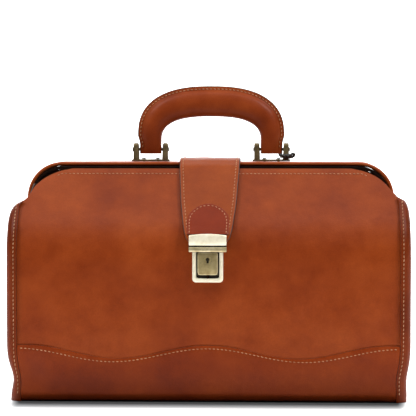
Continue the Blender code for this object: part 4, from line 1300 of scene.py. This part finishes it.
def lining():
    """The cloth lining: four slightly slack walls and a floor with a turned and stitched hem."""
    half_x, half_y, low, high, corner = 190.2, 86.3, 5.8, 122.0, 7.0
    corners = []
    for sx, sy, start in ((1, -1, -90), (1, 1, 0), (-1, 1, 90), (-1, -1, 180)):
        corners += [(sx * (half_x - corner) + corner * c, sy * (half_y - corner) + corner * s)
                    for c, s in arc(start, 90, 4)]
    plan = []
    for (ax, ay), (bx, by) in zip(corners, corners[1:] + corners[:1]):
        count = max(1, round(math.dist((ax, ay), (bx, by)) / 9.0))
        plan += [(ax + (bx - ax) * t, ay + (by - ay) * t) for t in shares(count)[:-1]]

    def at(x, y, z, inset):
        slack = math.sin(math.pi * (z - low) / (high - low))
        reach = inset + abs(ripple(mm(x, y, z * 0.5), 2.2, 20.0, 30.0)) * slack
        inwards_y = reach * (y / half_y) ** 7 if abs(y) > 0.8 * half_y else 0.0
        return mm(x - reach * (x / half_x) ** 7, y - inwards_y, z)

    loops = [[at(x, y, low + (high - low) * t, 0.0) for x, y in plan] for t in shares(18)]
    loops.append([at(x, y, high, 1.9) for x, y in plan])
    for t in reversed(shares(18)):
        z = low + 1.0 + (high - low - 1.0) * t
        inset = 1.9 if z > high - 12 else 1.1
        loops.append([at(x, y, min(z, high - 0.2), inset) for x, y in plan])
    place(tube("lining_sewn", loops, [CLOTH], 60), "body", "lining_cloth", "lining")
    hem = [at(x, y, high - 5.5, 2.0) for x, y in plan + plan[:1]]
    outs = [Vector((-(p.x / (half_x * MM)) ** 7, -(p.y / (half_y * MM)) ** 7, 0)).normalized() for p in hem]
    place(stitches("lining_hem_stitches", [(hem, outs)]), "body", "lining_cloth")
    inner_pocket()


def pocket_y(x, z):
    """The back of the pocket's cloth: flat where it is sewn on, slack towards its mouth."""
    slack = (1 - (x / POCKET_HALF) ** 4) * smooth_step((z - POCKET_LOW) / 60.0)
    return 83.0 - 3.0 * slack + ripple(mm(x, 0, z), 0.9, 30.0, 40.0) * slack


def inner_pocket():
    """A slip pocket on the back wall of the lining, with a hem and a slack mouth."""
    near, far = [], []
    for z in [POCKET_LOW + 70.0 * t for t in shares(20)]:
        cloth = 1.4 if z > 106.0 else 0.9
        spots = [(x, pocket_y(x, z)) for x in [POCKET_HALF * share for share in across(48)]]
        near.append([mm(x, y - cloth, z) for x, y in spots])
        far.append([mm(x, y, z) for x, y in spots])
    place(shell("pocket_sewn", near, far, [CLOTH] * 3, 60), "body", "lining_cloth", "inner_pocket")
    seam = [(-92.5, z) for z in range(112, 46, -3)]
    seam += [(x, 47.5) for x in range(-92, 93, 4)]
    seam += [(92.5, z) for z in range(48, 113, 3)]
    line = [mm(x, pocket_y(x, z) - 0.95, z) for x, z in seam]
    sewn = stitches("pocket_stitches", [(line, [Vector((0, -1, 0))] * len(line))])
    place(sewn, "body", "lining_cloth")


def bottom():
    """The leather bottom: the CAD panel with its sharp edges rounded."""
    mesh = frame["nodes"]["bottom_panel"].data.copy()
    shape = bmesh.new()
    shape.from_mesh(mesh)
    bmesh.ops.remove_doubles(shape, verts=shape.verts, dist=1e-6)
    bmesh.ops.dissolve_limit(shape, angle_limit=math.radians(2), verts=shape.verts, edges=shape.edges)
    shape.to_mesh(mesh)
    shape.free()
    mesh.materials.clear()
    mesh.materials.append(COGNAC)
    for face in mesh.polygons:
        face.material_index = 0
        face.use_smooth = True
    made = bpy.data.objects.new("bottom_leather", mesh)
    bpy.context.scene.collection.objects.link(made)
    bevel = made.modifiers.new("bevel", "BEVEL")
    bevel.width = 0.9 * MM
    bevel.segments = 3
    bevel.limit_method = "ANGLE"
    bevel.angle_limit = math.radians(28)
    bevel.harden_normals = True
    place(made, "body", "cognac_leather", "bottom_panel")


# ---------------------------------------------------------------- stage and light


def stage_floor():
    """A white sweep that rises smoothly behind the bag, with a contact shadow painted close round the bag's foot.
    """
    outline = [(-0.52, 0.0), (1.6, 0.0)]
    outline += [(1.6 + 0.8 * s, 0.8 * (1 - c)) for c, s in arc(0, 90, 12, 1)]
    outline.append((2.4, 4.0))
    points = [(x, y, z - 0.0004) for y, z in outline for x in (-2.5, 2.5)]
    faces = [(a, a + 1, a + 3, a + 2) for a in range(0, len(points) - 2, 2)]
    n = Nodes("white_sweep")
    axes = n.new("ShaderNodeSeparateXYZ", Vector=n.place).outputs

    def squared_distance(axis, half_size, steepness):
        beyond = n.maths("SUBTRACT", n.maths("ABSOLUTE", axes[axis]), half_size)
        return n.maths("POWER", n.maths("MULTIPLY", n.maths("MAXIMUM", beyond, 0.0), steepness), 2.0)

    # How far a point lies from the bag's footprint, counted steeper beside the ends than in front.
    beside, before = squared_distance("X", 0.184, 4.0), squared_distance("Y", 0.088, 1.0)
    away = n.maths("SQRT", n.maths("ADD", beside, before))
    clear = n.span(away, 0.014, 0.058, 0.0, 1.0)
    # Painted contact shadow: near-black at the bag's foot, a grey penumbra, then the white paper.
    near, penumbra_grey, far = (0.030, 0.032, 0.034), (0.25, 0.26, 0.27), (0.92, 0.92, 0.92)
    shade = n.ramp(clear, ((0.0, near), (0.45, penumbra_grey), (1.0, far)))
    paper = n.finish(shade, 0.95)
    # The paper glows white only where it is clear of the painted shadow.
    n.feed(n.shader.inputs["Emission Color"], (1.0, 1.0, 1.0, 1.0))
    n.feed(n.shader.inputs["Emission Strength"], n.maths("MULTIPLY", n.maths("POWER", clear, 2.0), 0.8))
    build("white_sweep", points, faces, [paper], smooth=60)


def area_light(name, spot, aim, size, power):
    data = bpy.data.lights.new(name, "AREA")
    data.shape = "RECTANGLE"
    data.size, data.size_y = size
    data.energy = power
    made = bpy.data.objects.new(name, data)
    bpy.context.scene.collection.objects.link(made)
    made.location = spot
    made.rotation_mode = "QUATERNION"
    made.rotation_quaternion = (Vector(aim) - Vector(spot)).to_track_quat("-Z", "Y")


def lights():
    """Soft boxes above both sides, a weak fill in front and a light on the sweep behind."""
    area_light("top_softbox", (0.0, -0.45, 1.9), (0, 0.0, 0.2), (1.2, 0.5), 9)
    area_light("right_high_softbox", (1.5, -0.85, 2.1), (0, -0.05, 0.15), (0.8, 0.8), 50)
    area_light("left_high_softbox", (-1.5, -0.85, 2.1), (0, -0.05, 0.15), (0.8, 0.8), 40)
    area_light("front_softbox", (0.2, -2.1, 1.5), (0, 0, 0.12), (0.9, 0.6), 2)
    area_light("sweep_light", (0.0, 0.9, 1.9), (0, 2.2, 0.6), (3.0, 1.0), 60)
    world = bpy.data.worlds.new("studio")
    world.use_nodes = True
    world.node_tree.nodes["Background"].inputs["Color"].default_value = (1, 1, 1, 1)
    world.node_tree.nodes["Background"].inputs["Strength"].default_value = 0.15
    bpy.context.scene.world = world
    bpy.context.scene.view_settings.view_transform = "Standard"


# ---------------------------------------------------------------- assembly

NODE_FINISH = {"black_steel": STEEL, "grey_board": BOARD, "antique_brass": ANTIQUE, "pale_brass": PALE_REFLECTION_BRASS,
               "cognac_leather": COGNAC, "dark_cognac_leather": DARK_COGNAC, "lining_cloth": CLOTH,
               "black_cord": CORD}


def dress_nodes():
    """Every CAD node that still shows gets its slot's procedural finish."""
    for part in frame["record"]["subparts"]:
        mesh = frame["nodes"][part["node"]].data
        mesh.materials.clear()
        mesh.materials.append(NODE_FINISH[part["material_slot"]])


def main():
    """The whole bag, its floor, lights and camera."""
    dress_nodes()
    for half, word in HALVES:
        leather_panel(half, word)
        for end, side in SIDES:
            gusset_quarter(half, word, end, side)
            gusset_fold(half, word, end, side)
            lip_stitches(half, word, end, side)
        rim_stitches(half, word)
        base_band(half, word)
        band_stitches(half, word)
        frame_cover(half, word)
        frame_valance(half, word)
    mouth_welt()
    straps()
    handle()
    metalwork()
    cord_tie()
    lining()
    bottom()
    stage_floor()
    lights()
    camera()


main()
